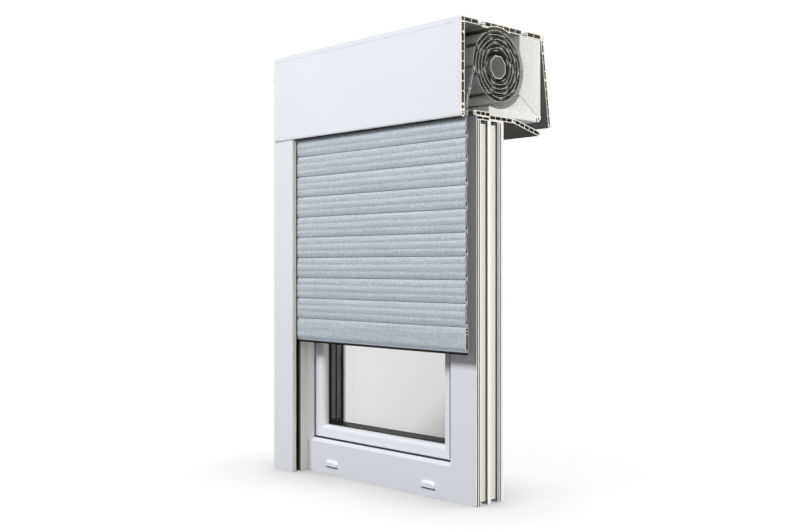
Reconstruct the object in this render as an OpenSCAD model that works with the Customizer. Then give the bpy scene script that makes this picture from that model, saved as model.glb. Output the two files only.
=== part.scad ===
// Display piece of a top-mounted exterior roller shutter with its window, cut open at the right end.
// Sections are drawn with y from the shutter box's front face and z from the floor.
// at_frame() then puts the origin under the middle of the window frame's sill.

/* [Unit] */
// Length of the display piece
unit_w = 552; // [480:1:800]

/* [Window frame] */
// Height of the window frame
frame_h = 709; // [640:1:1000]
// Depth of the frame profile
frame_depth = 76; // [74:1:84]
// Width of the frame's outer face
frame_face = 65; // [60:1:70]
// Width that the bevel adds behind the face
frame_bevel = 5; // [3:0.5:8]
// Depth of the front leaf that the sash closes against
leaf_depth = 14; // [12:0.5:16]
// Width of the frame behind its front leaf
frame_back = 45; // [42:1:48]
// Wall between the chambers of frame and sash
frame_wall = 3; // [2:0.25:4]
// Width of the two wide channels in the frame's outer side
channel_w = 20; // [17:0.5:21]
// Depth of the wide channels
channel_depth = 6; // [4:0.5:8]
// Width of the rib between the wide channels
channel_rib = 8.4; // [7:0.1:10]
// Width of the fine grooves beside the channels
fine_w = 2.8; // [2:0.1:3]
// Depth of the fine grooves
fine_depth = 3; // [2:0.25:4]
// Depth of the stop gasket behind the front leaf
stop_gasket_t = 2.8; // [2:0.1:3]

/* [Drain caps] */
// Width of a drain cap
cap_w = 39; // [30:1:50]
// Height of a drain cap
cap_h = 15.6; // [12:0.2:20]
// How far a drain cap stands proud of the sill
cap_proud = 5; // [4:0.25:7]
// Height of the caps above the floor
cap_z = 14.8; // [8:0.2:24]
// Distance of the left cap's middle from the left end
cap_left = 145; // [110:1:200]
// Distance of the right cap's middle from the right end
cap_right = 123; // [60:1:180]

/* [Sash] */
// Gap between the front leaf and the sash face
stop_gap = 1.3; // [1:0.1:2]
// Set-back of the sash edge from the frame's outer edge
sash_inset = 57; // [54:0.5:60]
// Width of the sash face that shows in front
sash_face = 25; // [22:0.5:30]
// Radius of the sash's rounded front edge
sash_round = 10; // [6:0.5:12]
// Depth of the sash in front of the glass gasket
sash_front = 14.7; // [13:0.1:17]
// Overlap of the sash flange behind the frame
sash_lap = 7; // [5:0.5:9]
// Thickness of the sash flange
flange_t = 14.4; // [14:0.1:18]
// Gap between frame and sash flange
flange_gap = 0.6; // [0.4:0.1:1.5]

/* [Glazing] */
// Thickness of each pane
pane_t = 4; // [3:0.5:6]
// Width of each cavity between the panes
cavity = 14; // [12:0.5:15]
// How far the sash covers the panes
pane_cover = 11; // [9:0.5:13]
// Gap between the panes' edges and the sash
pane_gap = 4; // [3:0.5:5]
// Thickness of the outer glass gasket
gasket_out = 3; // [2:0.25:4]
// Thickness of the inner glass gasket
gasket_in = 2; // [1.5:0.25:3]
// Depth of the glazing bead
bead_depth = 14; // [11:0.5:15]

/* [Hinges and handle] */
// Height of a hinge
hinge_h = 70; // [50:1:90]
// Distance of a hinge from the frame's end
hinge_inset = 90; // [75:1:130]
// Radius of a hinge pin
hinge_pin_r = 4; // [3:0.25:4.5]
// Radius of a hinge knuckle
knuckle_r = 7; // [6:0.25:7.25]
// Running clearance of pins and spindles
run_fit = 0.05; // [0.02:0.01:0.1]
// Height of the handle's spindle above the floor
handle_z = 420; // [300:1:480]
// Length of the handle lever from its spindle
lever_len = 118; // [90:1:140]
// Width of the handle lever
lever_w = 22; // [18:0.5:26]
// Radius of the lever's neck
neck_r = 8; // [6:0.25:9]
// Height of the lever off the handle base
lever_off = 22; // [16:0.5:30]
// Thickness of the handle base
rose_t = 9; // [6:0.5:12]

/* [Shutter box] */
// Height of the box above the window frame
box_h = 182; // [176:1:200]
// Depth of the box
box_depth = 240; // [236:1:260]
// Gap between the frame's top edge and the box's lower edge
box_gap = 1; // [0.5:0.1:2]
// Thickness of the front and top panels
panel_t = 10; // [9:0.25:10.5]
// Skin and web thickness of the panels
skin = 1.5; // [1:0.1:1.8]
// Length of a chamber in the panels
cell = 18; // [14:0.5:24]
// Thickness of the rear cover
cover_t = 7.5; // [6.5:0.1:8]
// Angle that the rear cover stands open
cover_open = 8.1; // [0:0.1:20]
// Gap that the rear cover keeps to its socket
cover_gap = 0.3; // [0.2:0.05:0.5]
// Width of the grooves in the box's top
groove_w = 17; // [14:0.5:20]
// Depth of the grooves in the box's top
groove_depth = 5.5; // [4:0.25:6]
// Distance of the grooves' middles from the box's front and rear
groove_inset = 56; // [50:1:60]

/* [Base of the box] */
// Front tip of the base panel, behind the box's front face
base_tip = 33; // [31:0.5:38]
// Where the base panel steps down
base_step = 80; // [76:0.5:88]
// Thickness of the base panel
base_t = 9; // [8:0.25:9.5]
// Rise of the base panel's front row above the box's lower edge
base_rise = 6.5; // [5.5:0.25:8]
// Height of the step in the base panel
step_h = 5; // [4:0.25:6]
// Hinge line of the base cover, behind the box's front face
flap_y = 149.5; // [140:0.5:156]
// Angle that the base cover hangs open
flap_open = 13; // [0:0.5:20]
// Thickness of the seal blade at the slot
blade_t = 1; // [0.8:0.1:1.6]
// Clearance of the blade to the curtain
blade_gap = 0.8; // [0.5:0.1:2]

/* [Insulation] */
// Clearance between the roll and the rear insulation
roll_clear = 2.6; // [1.5:0.1:4]
// Clearance between the roll and the base insulation
base_clear = 6.6; // [4:0.1:9]
// Distance of the rear insulation's front face behind the shaft axis
pad_front = 62.8; // [60:0.2:66]
// Size of the corner profile
corner_size = 13; // [11:0.25:15]

/* [Shaft and roll] */
// Shaft axis behind the box's front face
shaft_y = 102.7; // [100:0.1:105]
// Shaft axis below the box's top
shaft_drop = 80.2; // [79:0.1:84]
// Shaft width across the flats
shaft_af = 42; // [40:0.5:46]
// Wall of the shaft tube
shaft_wall = 1.2; // [0.8:0.1:1.5]
// Radius at which the slats leave the roll
roll_r = 67; // [65:0.1:68]
// Distance between the layers of the roll
layer_pitch = 8; // [7.8:0.05:9]
// Radius of the motor in the shaft
motor_r = 17.5; // [15:0.1:18]
// Length of the motor in the shaft
motor_len = 278; // [220:1:320]
// Thickness of the left end plate
plate_t = 6; // [4:0.5:8]

/* [Slats] */
// Height of a slat from joint to joint
slat_pitch = 43; // [42:0.1:44]
// Wall thickness of a slat
slat_wall = 0.8; // [0.6:0.05:0.9]
// Depth that the slat's face swells by
slat_belly = 0.9; // [0.3:0.05:1]
// Depth that the slat's back is hollowed by between its hooks
slat_hollow = 2.9; // [1:0.1:3]
// Height of the three flutes in the face
slat_flute = 0.35; // [0.1:0.05:0.4]
// Gap that shows between two slats
slat_gap = 1.15; // [1.1:0.05:1.4]
// Middle of the curtain behind the box's front face
curtain_y = 16; // [15.5:0.1:17]
// Height of the end bar
bar_h = 45.5; // [38:0.5:55]
// Thickness of the end bar
bar_t = 7.4; // [7:0.1:7.6]
// Height of the end bar's rubber strip
strip_h = 3.8; // [2.5:0.1:5]
// Joint at the box mouth above the box's lower edge
mouth_rise = 9.5; // [7:0.1:12]

/* [Guide rail] */
// Width of the rail's face
rail_face = 65; // [60:0.5:70]
// Depth of the rail
rail_depth = 42; // [38:0.5:48]
// Width of the rail's slot
slot_w = 10.8; // [10.4:0.1:12]
// Depth of the rail's slot
slot_d = 31; // [28:0.5:34]
// How far the slats reach into the rail
slat_in = 21; // [16:0.5:24]
// Wall of the rail
rail_wall = 2; // [1.5:0.1:2.5]
// Thickness of the brush strips in the slot
brush_t = 1.1; // [0.8:0.1:1.2]

/* [Hidden] */
$fn = 64;

plastic = [0.93, 0.94, 0.95];
rubber = [0.09, 0.09, 0.09];
alu = [0.70, 0.73, 0.76];
foam = [0.90, 0.90, 0.90];
steel = [0.62, 0.63, 0.65];

// Ends of the display piece
x0 = -unit_w / 2;
x1 = unit_w / 2;

// Heights of the box
z_box = frame_h + box_gap;
z_top = z_box + box_h;
z_under = z_top - panel_t;
z_base = z_box + base_rise;
z_row = z_base - step_h;
shaft_z = z_top - shaft_drop;

// Depths of the frame and the sash, from the frame's front face
y_frame = rail_depth;
y_sash = leaf_depth + stop_gap;
sash_step = stop_gasket_t - stop_gap + 0.7;
y_rebate = y_sash + sash_front;
y_pane_1 = y_rebate + gasket_out;
y_pane_2 = y_pane_1 + pane_t + cavity;
y_pane_3 = y_pane_2 + pane_t + cavity;
y_bead = y_pane_3 + pane_t + gasket_in;
y_flange = frame_depth + flange_gap;
y_back = y_flange + flange_t;

// Distances of the sash and the glass from the frame's outer edge
d_leaf = frame_face + frame_bevel;
d_face = d_leaf + 4;
d_sight = d_face + sash_face;
d_pane = d_sight - pane_cover;
d_rebate = d_pane - pane_gap;
d_flange = frame_back - sash_lap;
d_hinge = d_flange - knuckle_r - 1;
d_handle = (d_flange + d_rebate) / 2;
mitre_w = d_sight + 20;

// Outer side of the frame: channels about a rib that carries the middle of the sill
rib_mid = frame_depth / 2 - channel_rib / 2 + 1.5;
channel_ys = [rib_mid - channel_rib / 2 - channel_w, rib_mid + channel_rib / 2];
fine_rib = 2.1;
fine_ys = [
  channel_ys[0] - fine_rib - fine_w,
  channel_ys[0] - 2 * fine_rib - 2 * fine_w,
  channel_ys[1] + channel_w + fine_rib,
  channel_ys[1] + channel_w + 2 * fine_rib + fine_w
];

// Covers, with the pivots in the middle of their round ends
cover_r = cover_t / 2;
cover_y = box_depth - 1 - cover_r;
cover_z = z_under - 1 - cover_r;
cover_len = cover_z - z_box - cover_r - 1.5;
flap_r = base_t / 2;
flap_z = z_row + flap_r;
flap_len = cover_y - cover_r - 1 - flap_y;

// Slat section: s runs up the chain from the joint, v runs out of the face
neck_half = 0.45;
bead_half = 1.7;
bead_rise = 1.2;
lip_half = 1.25;
lip_h = 0.8;
bead_clear = 0.4;
pocket_half = bead_half + bead_clear;
s_pocket = bead_rise + 0.7;
s_lip = -(bead_rise + bead_clear + lip_h);
s_body = slat_pitch + s_lip - slat_gap;
slat_edge = pocket_half + slat_wall;
slat_out = slat_edge + slat_belly + slat_flute;

// Roll: spiral of slats wound from the leaving joint over the top towards the shaft
roll_out = roll_r + slat_out;
pad_r = roll_out + roll_clear;
pad_low_r = roll_out + base_clear;
arch_r = pad_r + 1;
spiral_b = layer_pitch / (2 * PI);
shaft_corner = shaft_af / 2 / cos(22.5);
roll_core = shaft_corner + slat_edge + 1.5;
wound_n = floor((roll_r * roll_r - roll_core * roll_core) / (2 * spiral_b) / slat_pitch);
wound_groups = 5;
group_n = ceil(wound_n / wound_groups);

// Hanging chain: joints at the box mouth, half way and where the slats leave the roll
hang_n = 9;
mouth = [curtain_y, z_box + mouth_rise];
axis_p = [shaft_y, shaft_z];
reach = 2 * slat_pitch - 0.15;
axis_gap = norm(axis_p - mouth);
axis_dir = (axis_p - mouth) / axis_gap;
reach_a = (reach * reach - roll_r * roll_r + axis_gap * axis_gap) / (2 * axis_gap);
reach_h = sqrt(reach * reach - reach_a * reach_a);
leave = mouth + reach_a * axis_dir + reach_h * [-axis_dir[1], axis_dir[0]];
leave_a = 180 + atan2(shaft_z - leave[1], shaft_y - leave[0]);
lean_dir = (leave - mouth) / reach;
lean_h = sqrt(slat_pitch * slat_pitch - reach * reach / 4);
bend = (mouth + leave) / 2 + lean_h * [-lean_dir[1], lean_dir[0]];
lean_bow = slat_pitch * tan(4.5) / 2;
bar_top = mouth[1] - hang_n * slat_pitch + s_lip - slat_gap;
bar_low = bar_top - bar_h;
slat_x0 = x0 + rail_face - slat_in;

// Shaft, motor and end plate along the length
plate_x = x0 + plate_t;
head_len = 32;
shaft_x0 = plate_x + head_len + 2;
motor_x1 = plate_x + head_len + motor_len;
spindle_r = 6;
wheel_w = 16;

// Rail slot
slot_y0 = curtain_y - slot_w / 2;
slot_y1 = curtain_y + slot_w / 2;

// Frame of the part and its directions of extrusion
module at_frame() translate([0, -(y_frame + frame_depth / 2), 0]) children();
module along_x(a, b) translate([a, 0, 0]) rotate([90, 0, 90]) linear_extrude(b - a) children();
module along_y(a, b) translate([0, b, 0]) rotate([90, 0, 0]) linear_extrude(b - a) children();
module about_x(y, z, angle) translate([0, y, z]) rotate([angle, 0, 0]) translate([0, -y, -z]) children();

// Row of chambers from a to b along the second axis, between the skins at c and d
module chambers_up(a, b, c, d, n) {
  step = (b - a - skin) / n;
  for (i = [0:n - 1])
    translate([c + skin, a + skin + i * step]) square([d - c - 2 * skin, step - skin]);
}

// Row of chambers from a to b along the first axis
module chambers_along(a, b, c, d, n) {
  step = (b - a - skin) / n;
  for (i = [0:n - 1])
    translate([a + skin + i * step, c + skin]) square([step - skin, d - c - 2 * skin]);
}

// Screw port: a round tube in a chamber that takes an end screw
module port(y, z, r) translate([y, z]) difference() { circle(r); circle(r / 2); }

// Strip with chambers and two round ends, hanging down from a pivot at its upper end
module hanging_strip(r, len) {
  n = round(len / cell);
  step = (len - r - skin) / n;
  difference() {
    union() {
      translate([-r, -len]) square([2 * r, len]);
      circle(r);
      translate([0, -len]) circle(r);
    }
    chambers_up(-len + r / 2, -r / 2, -r, r, n);
    translate([0, -len]) circle(r / 2);
    circle(r / 2);
  }
  for (i = [round(n / 2), n - 1]) port(0, -len + r / 2 + skin / 2 + i * step, r - skin * 0.8);
}

// Shutter box
foot_h = 23.5;
port_r = 2.6;
seam = 0.7;

// Fine groove along the front where the front and top panels meet
module panel_seam(z) polygon([[-1, z - seam - 1], [seam, z], [-1, z + seam + 1]]);

module box_front_panel() {
  r = panel_t / 2;
  z_long = z_box + foot_h;
  z_cells = z_long + foot_h - skin;
  n = round((z_under - z_cells) / cell);
  step = (z_under - z_cells - skin) / n;
  color(plastic) at_frame() along_x(x0, x1) difference() {
    union() {
      difference() {
        union() {
          translate([0, z_box + r]) square([panel_t, z_under - z_box - r]);
          translate([r, z_box + r]) circle(r);
        }
        chambers_up(z_long, z_long + foot_h, 0, panel_t, 1);
        chambers_up(z_cells, z_under, 0, panel_t, n);
      }
      for (i = [2, n - 1]) port(panel_t - skin - port_r / 2, z_cells + skin / 2 + i * step, port_r);
    }
    translate([r, z_box + r]) circle(r / 2);
    translate([skin, z_box + r * 1.7]) square([panel_t - 2 * skin, skin]);
    translate([r, z_box + foot_h * 0.75]) circle(r - skin);
    panel_seam(z_under);
  }
}

module top_groove(y, toe) {
  h = groove_w / 2;
  translate([y, z_top]) polygon([
    [-h, 1], [h, 1], [h, -groove_depth], [-h + toe, -groove_depth], [-h, -skin]
  ]);
}

// The top panel is thicker where the arch over the roll cuts into it
arch_lug = 2.2;
lug_a = shaft_y - arch_r / 2 - 8;
lug_b = shaft_y + arch_r / 2 - 4;
module arch_lug_area(clear) translate([lug_a - clear, z_under - arch_lug - clear])
  square([lug_b - lug_a + 2 * clear, panel_t + 2 * clear]);

module box_top_panel() {
  h = groove_w / 2;
  g1 = groove_inset;
  g2 = box_depth - groove_inset - 4;
  lip_z = cover_z + 2.2;
  color(plastic) at_frame() along_x(x0, x1) difference() {
    union() {
      translate([0, z_under]) square([box_depth, panel_t]);
      arch_lug_area(0);
      translate([cover_y - cover_r - 1.5, lip_z]) square([cover_t + 2.5, z_top - lip_z]);
    }
    translate([shaft_y, shaft_z]) circle(arch_r, $fn = 128);
    translate([cover_y, cover_z]) circle(cover_r + cover_gap);
    panel_seam(z_under);
    top_groove(g1, 4);
    top_groove(g2, 4);
    difference() {
      union() {
        chambers_along(0, panel_t, z_under, z_top, 1);
        chambers_along(panel_t - skin, g1 - h, z_under, z_top, 2);
        chambers_along(g1 - h, g1 + h, z_under - 0.5, z_top - groove_depth, 1);
        chambers_along(g1 + h, g2 - h, z_under, z_top, round((g2 - g1 - groove_w) / cell));
        chambers_along(g2 - h, g2 + h, z_under - 0.5, z_top - groove_depth, 1);
        chambers_along(g2 + h, cover_y - cover_r - 1.5, z_under, z_top, 2);
      }
      translate([shaft_y, shaft_z]) circle(arch_r + skin, $fn = 128);
    }
  }
}

module box_base_panel() {
  r = base_t / 2;
  color(plastic) at_frame() along_x(x0, x1) difference() {
    union() {
      translate([base_tip + r, z_base]) square([base_step - base_tip - r, base_t]);
      translate([base_tip + r, z_base + r]) circle(r);
      translate([base_step - skin, z_row]) square([flap_y - base_step + skin, base_t]);
    }
    translate([flap_y, flap_z]) circle(flap_r + cover_gap);
    translate([base_tip + r, z_base + r]) circle(r * 0.45);
    chambers_along(base_tip + r * 1.6, base_step, z_base, z_base + base_t, 3);
    chambers_along(base_step - skin, flap_y - flap_r - 1, z_row, z_row + base_t, 4);
  }
}

module frame_adapter() {
  y0 = y_frame;
  y1 = y_frame + frame_depth;
  y2 = base_step - skin - 0.3;
  color(plastic) at_frame() along_x(x0, x1) difference() {
    union() {
      translate([y0, frame_h]) square([y1 - y0, z_row - frame_h]);
      translate([y0, frame_h]) square([y2 - y0, z_base - frame_h]);
    }
    chambers_along(y0, y2, frame_h, z_base, 2);
  }
}

module slot_seal_blade() {
  tip = curtain_y + slat_edge + blade_gap;
  z = z_base + base_t / 2;
  color(rubber) at_frame() along_x(x0 + rail_face, x1) translate([tip, z - blade_t / 2])
    square([base_tip - tip, blade_t]);
}

// Insulation, parted along a line from the roll to the corner profile, with room over the shut base cover
flap_room = 0.4;
pad_y0 = shaft_y + pad_front;
pad_y1 = cover_y - cover_r - 2;
corner_y0 = pad_y1 - corner_size;
corner_z1 = z_row + base_t + corner_size;
part_z = shaft_z - sqrt(pad_low_r * pad_low_r - pad_front * pad_front);

module insulation_rear() {
  color(foam) at_frame() along_x(plate_x, x1) difference() {
    polygon([
      [pad_y0, z_under], [pad_y1, z_under], [pad_y1, corner_z1], [corner_y0, corner_z1], [pad_y0, part_z]
    ]);
    translate([shaft_y, shaft_z]) circle(pad_r, $fn = 128);
  }
}

module insulation_base() {
  z_low = z_row + base_t;
  z_high = z_base + base_t;
  color(foam) at_frame() along_x(plate_x, x1) difference() {
    polygon([
      [base_step - 4, z_high], [base_step - 4, shaft_z - pad_low_r + 2.2],
      [shaft_y, shaft_z - pad_low_r + 2.2], [pad_y0, part_z], [corner_y0, corner_z1],
      [corner_y0, z_low + flap_room], [flap_y - base_t, z_low + flap_room], [flap_y - base_t, z_low],
      [base_step, z_low], [base_step, z_high]
    ]);
    translate([shaft_y, shaft_z]) circle(pad_low_r, $fn = 128);
  }
}

module corner_profile() {
  y0 = corner_y0;
  y1 = pad_y1 + 0.8;
  z0 = z_row + base_t + 0.7;
  z1 = corner_z1 - 0.2;
  m = (y0 + y1) / 2;
  color(plastic) at_frame() along_x(plate_x, x1) difference() {
    polygon([
      [y0 + 0.2, z1], [y1, z1], [y1, z1 - corner_size / 2], [m + 2.4, z0 + 3], [m + 2, z0],
      [m - 2, z0], [m - 2.4, z0 + 3], [y0 + 0.2, z1 - 3]
    ]);
    translate([m + 0.6, z1 - corner_size * 0.4]) circle(corner_size * 0.2);
  }
}

// Left end plate with the motor's seat
module left_end_plate() {
  color(plastic) at_frame() union() {
    along_x(x0, plate_x) difference() {
      polygon([
        [panel_t, z_under], [panel_t, z_base + base_t], [base_step, z_base + base_t],
        [base_step, z_row + base_t + 0.3], [pad_y1, z_row + base_t + 0.3], [pad_y1, z_under - panel_t / 2],
        [pad_y1 - panel_t / 2, z_under]
      ]);
      arch_lug_area(0.1);
    }
    along_x(plate_x, plate_x + 8) translate([shaft_y, shaft_z]) difference() {
      circle(motor_r + 12);
      circle(motor_r + 6);
    }
  }
}

module motor_head() {
  color(steel) at_frame() along_x(plate_x, plate_x + head_len) translate([shaft_y, shaft_z]) circle(motor_r + 4);
}

module motor_tube() {
  color([0.2, 0.2, 0.21]) at_frame() difference() {
    along_x(plate_x + head_len, motor_x1) translate([shaft_y, shaft_z]) circle(motor_r);
    along_x(motor_x1 - 30, motor_x1 + 1) translate([shaft_y, shaft_z]) circle(spindle_r + run_fit);
  }
}

// Guide rail and its brush strips
module guide_rail() {
  lip_x = rail_face - slot_d;
  color(plastic) at_frame() translate([x0, 0, 0]) linear_extrude(z_box - 0.5) difference() {
    square([rail_face, rail_depth]);
    translate([lip_x, slot_y0]) square([slot_d + 1, slot_w]);
    translate([rail_wall, rail_wall]) square([lip_x - 2 * rail_wall, rail_depth - 2 * rail_wall]);
    translate([lip_x, rail_wall]) square([slot_d - rail_wall, slot_y0 - 2 * rail_wall]);
    translate([lip_x, slot_y1 + rail_wall]) square([slot_d - rail_wall, rail_depth - slot_y1 - 2 * rail_wall]);
  }
}

module rail_brushes() {
  color(rubber) at_frame() translate([x0 + rail_face - 6, 0, 0]) linear_extrude(z_box - 0.5) {
    translate([0, slot_y0]) square([4, brush_t]);
    translate([0, slot_y1 - brush_t]) square([4, brush_t]);
  }
}

// Mitred length of profile: the child is its section, with x from the frame's outer edge
module member(len, gap) {
  intersection() {
    linear_extrude(len) children();
    along_y(-frame_depth, 3 * frame_depth) polygon([
      [0, gap], [mitre_w, mitre_w + gap], [mitre_w, len - mitre_w - gap], [0, len - gap]
    ]);
  }
}

module on_sill(gap = 0) translate([x1, y_frame, 0]) rotate([0, -90, 0]) member(unit_w, gap) children();
module on_head(gap = 0) translate([x0, y_frame, frame_h]) rotate([0, 90, 0]) member(unit_w, gap) children();
module on_left(gap = 0) translate([x0, y_frame, 0]) member(frame_h, gap) children();
module on_right(gap = 0) translate([x1, y_frame, 0]) mirror([1, 0, 0]) member(frame_h, gap) children();

// Ring about the opening, between two distances from the frame's outer edge
module ring_rect(d) translate([x0 + d, d]) square([unit_w - 2 * d, frame_h - 2 * d]);
module ring(d0, d1, a, b) along_y(y_frame + a, y_frame + b) difference() { ring_rect(d0); ring_rect(d1); }
module sheet(d, a, b) along_y(y_frame + a, y_frame + b) ring_rect(d);

// Window frame
module frame_section() {
  w = frame_wall;
  c0 = channel_depth + w;
  mid = (leaf_depth + frame_depth) / 2;
  difference() {
    polygon([
      [0, 0], [frame_face, 0], [d_leaf, leaf_depth - 2], [d_leaf, leaf_depth],
      [frame_back, leaf_depth], [frame_back, frame_depth], [0, frame_depth]
    ]);
    for (y = channel_ys) translate([-1, y]) square([channel_depth + 1, channel_w]);
    for (y = fine_ys) translate([-1, y]) square([fine_depth + 1, fine_w]);
    translate([c0, w]) square([frame_face - w - c0, leaf_depth - 2 * w]);
    translate([c0, leaf_depth + w / 2]) square([frame_back - w - c0, mid - leaf_depth - w]);
    translate([c0, mid + w / 2]) square([frame_back - w - c0, frame_depth - w * 1.5 - mid]);
  }
}

module frame_sill() { color(plastic) at_frame() on_sill() frame_section(); }
module frame_head() { color(plastic) at_frame() on_head() frame_section(); }
module frame_left_jamb() { color(plastic) at_frame() on_left() frame_section(); }
module frame_right_jamb() { color(plastic) at_frame() on_right() frame_section(); }
module stop_gasket() { color(rubber) at_frame() ring(frame_face + 1, d_face - 0.4, leaf_depth, leaf_depth + stop_gasket_t); }

// Hooded caps over the drain slots in the sill
module drain_cap() {
  r = cap_h * 0.4;
  difference() {
    hull() {
      for (s = [-1, 1]) translate([s * (cap_w / 2 - r), 0, cap_h - r]) rotate([90, 0, 0]) cylinder(r = r, h = 1, $fn = 32);
      for (s = [-1, 1]) translate([s * (cap_w / 2 - r), 0, cap_h - r]) rotate([90, 0, 0]) cylinder(r = r * 0.5, h = cap_proud - 1, $fn = 32);
      translate([-cap_w / 2, -1, 0]) cube([cap_w, 1, cap_h / 2]);
      translate([-cap_w / 2 + 3, -cap_proud, 0]) cube([cap_w - 6, 1, cap_h / 3]);
    }
    translate([-cap_w / 2 + 4, -cap_proud + 1.2, -1]) cube([cap_w - 8, cap_proud - 2.2, cap_h / 2]);
  }
}

module drain_caps() {
  color(plastic) at_frame() {
    translate([x0 + cap_left, y_frame, cap_z]) drain_cap();
    translate([x1 - cap_right, y_frame, cap_z]) drain_cap();
  }
}

// Hinges: the frame leaf carries the pin, the sash leaf turns on it
hinge_x = x1 - d_hinge;
hinge_y = y_frame + frame_depth + knuckle_r + 1;
hinge_zs = [hinge_inset, frame_h - hinge_inset - hinge_h];

module hinge_pins() {
  h = hinge_h / 2 - 0.2;
  color(steel) at_frame() for (z = hinge_zs) translate([hinge_x, hinge_y, z]) {
    cylinder(r = knuckle_r, h = h);
    cylinder(r = hinge_pin_r, h = hinge_h - 1);
    translate([0, -knuckle_r - 1, 0]) cube([d_hinge - 6, 4, h]);
  }
}

module hinge_knuckles() {
  h = hinge_h / 2;
  color(steel) at_frame() for (z = hinge_zs) translate([hinge_x, hinge_y, z + h]) difference() {
    union() {
      cylinder(r = knuckle_r, h = h);
      translate([-knuckle_r - 1, -5, 0]) cube([knuckle_r + 1, 10, h]);
    }
    translate([0, 0, -1]) cylinder(r = hinge_pin_r + run_fit, h = h + 2);
  }
}

// Sash
module sash_section() {
  w = frame_wall;
  c = d_sight - sash_round;
  difference() {
    union() {
      polygon([
        [sash_inset, y_sash + sash_step], [d_face, y_sash + sash_step], [d_face, y_sash], [c, y_sash],
        [c, y_rebate], [d_rebate, y_rebate], [d_rebate, y_back], [d_flange + 2, y_back],
        [d_flange, y_back - 2], [d_flange, y_flange], [sash_inset, y_flange]
      ]);
      intersection() {
        translate([c, y_sash + sash_round]) circle(sash_round);
        translate([c, y_sash]) square([sash_round, sash_round]);
      }
      translate([c, y_sash + sash_round]) square([sash_round, y_rebate - y_sash - sash_round]);
    }
    translate([sash_inset + w, y_sash + sash_step + w])
      square([d_rebate - sash_inset - 2 * w, (y_flange - y_sash - sash_step - 3 * w) / 2]);
    translate([sash_inset + w, (y_flange + y_sash + sash_step + w) / 2])
      square([d_rebate - sash_inset - 2 * w, (y_flange - y_sash - sash_step - 3 * w) / 2]);
  }
}

module sash_sill() { color(plastic) at_frame() on_sill() sash_section(); }
module sash_head() { color(plastic) at_frame() on_head() sash_section(); }
module sash_left_stile() { color(plastic) at_frame() on_left() sash_section(); }
module sash_right_stile() { color(plastic) at_frame() on_right() sash_section(); }

// Triple glazing
module pane_outer() { color([0.8, 0.85, 0.85, 0.4]) at_frame() sheet(d_pane, y_pane_1, y_pane_1 + pane_t); }
module pane_middle() { color([0.8, 0.85, 0.85, 0.4]) at_frame() sheet(d_pane, y_pane_2, y_pane_2 + pane_t); }
module pane_inner() { color([0.8, 0.85, 0.85, 0.4]) at_frame() sheet(d_pane, y_pane_3, y_pane_3 + pane_t); }

module glass_spacers() {
  color([0.3, 0.3, 0.3]) at_frame() {
    ring(d_pane + 2, d_sight + 1, y_pane_1 + pane_t, y_pane_2);
    ring(d_pane + 2, d_sight + 1, y_pane_2 + pane_t, y_pane_3);
  }
}

module glass_gaskets() {
  color(rubber) at_frame() {
    ring(d_pane + 3, d_sight + 1.5, y_rebate, y_pane_1);
    ring(d_pane + 3, d_sight + 1.5, y_pane_3 + pane_t, y_bead);
  }
}

module bead_section() {
  polygon([
    [d_rebate, y_bead], [d_sight, y_bead], [d_sight, y_bead + bead_depth / 3],
    [d_sight - bead_depth / 2, y_bead + bead_depth], [d_rebate, y_bead + bead_depth]
  ]);
}

module glazing_beads() {
  gap = 0.1;
  color(plastic) at_frame() {
    on_sill(gap) bead_section();
    on_head(gap) bead_section();
    on_left(gap) bead_section();
    on_right(gap) bead_section();
  }
}

// Window handle on the room side of the left stile
handle_x = x0 + d_handle;
rose_half = 16;

module stadium(w, up, down) {
  translate([-w / 2, -down]) square([w, up + down]);
  translate([0, up]) circle(w / 2);
  translate([0, -down]) circle(w / 2);
}

module handle_rose() {
  y = y_frame + y_back;
  color(alu) at_frame() difference() {
    along_y(y, y + rose_t) translate([handle_x, handle_z]) stadium(2 * rose_half, 20, 20);
    along_y(y + 1.5, y + rose_t + 1) translate([handle_x, handle_z]) circle(neck_r + run_fit);
  }
}

module handle_lever() {
  y = y_frame + y_back;
  y2 = y + rose_t + lever_off;
  color(alu) at_frame() union() {
    along_y(y + 2, y2 + 1) translate([handle_x, handle_z]) circle(neck_r);
    along_y(y2, y2 + 12) translate([handle_x, handle_z]) stadium(lever_w, 0, lever_len - lever_w / 2);
  }
}

// Winding shaft with the motor's crown ring and drive wheel
module octagon(af) rotate(22.5) circle(af / 2 / cos(22.5), $fn = 8);
shaft_in = shaft_af - 2 * shaft_wall;

module shaft_tube() {
  color(steel) at_frame() along_x(shaft_x0, x1) translate([shaft_y, shaft_z]) difference() {
    octagon(shaft_af);
    octagon(shaft_in);
  }
}

module crown_ring() {
  color(rubber) at_frame() along_x(shaft_x0, shaft_x0 + 12) translate([shaft_y, shaft_z]) difference() {
    octagon(shaft_in - 2 * run_fit);
    circle(motor_r + run_fit);
  }
}

module drive_wheel() {
  color(rubber) at_frame() translate([0, 0, 0]) union() {
    along_x(motor_x1 + 2, motor_x1 + 2 + wheel_w) translate([shaft_y, shaft_z]) octagon(shaft_in - 2 * run_fit);
    along_x(motor_x1 - 28, motor_x1 + 3) translate([shaft_y, shaft_z]) circle(spindle_r);
  }
}

// Slat profile: swelling of the face with three flutes, and the hollow in the back between the hooks
function along(s) = (s - s_lip) / (s_body - s_lip);
function swell(s) = pow(max(0, sin(180 * along(s))), 0.6);
function face_v(s) = slat_edge + slat_belly * swell(s) + slat_flute * abs(sin(540 * along(s)));
hollow_s0 = s_pocket + slat_wall;
function hollow(s) = pow(max(0, sin(180 * (s - hollow_s0) / (s_body - hollow_s0))), 0.7);
function back_v(s) = -slat_edge + slat_hollow * hollow(s);
function between(a, b, n) = [for (i = [0:n]) a + (b - a) * i / n];

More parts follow.
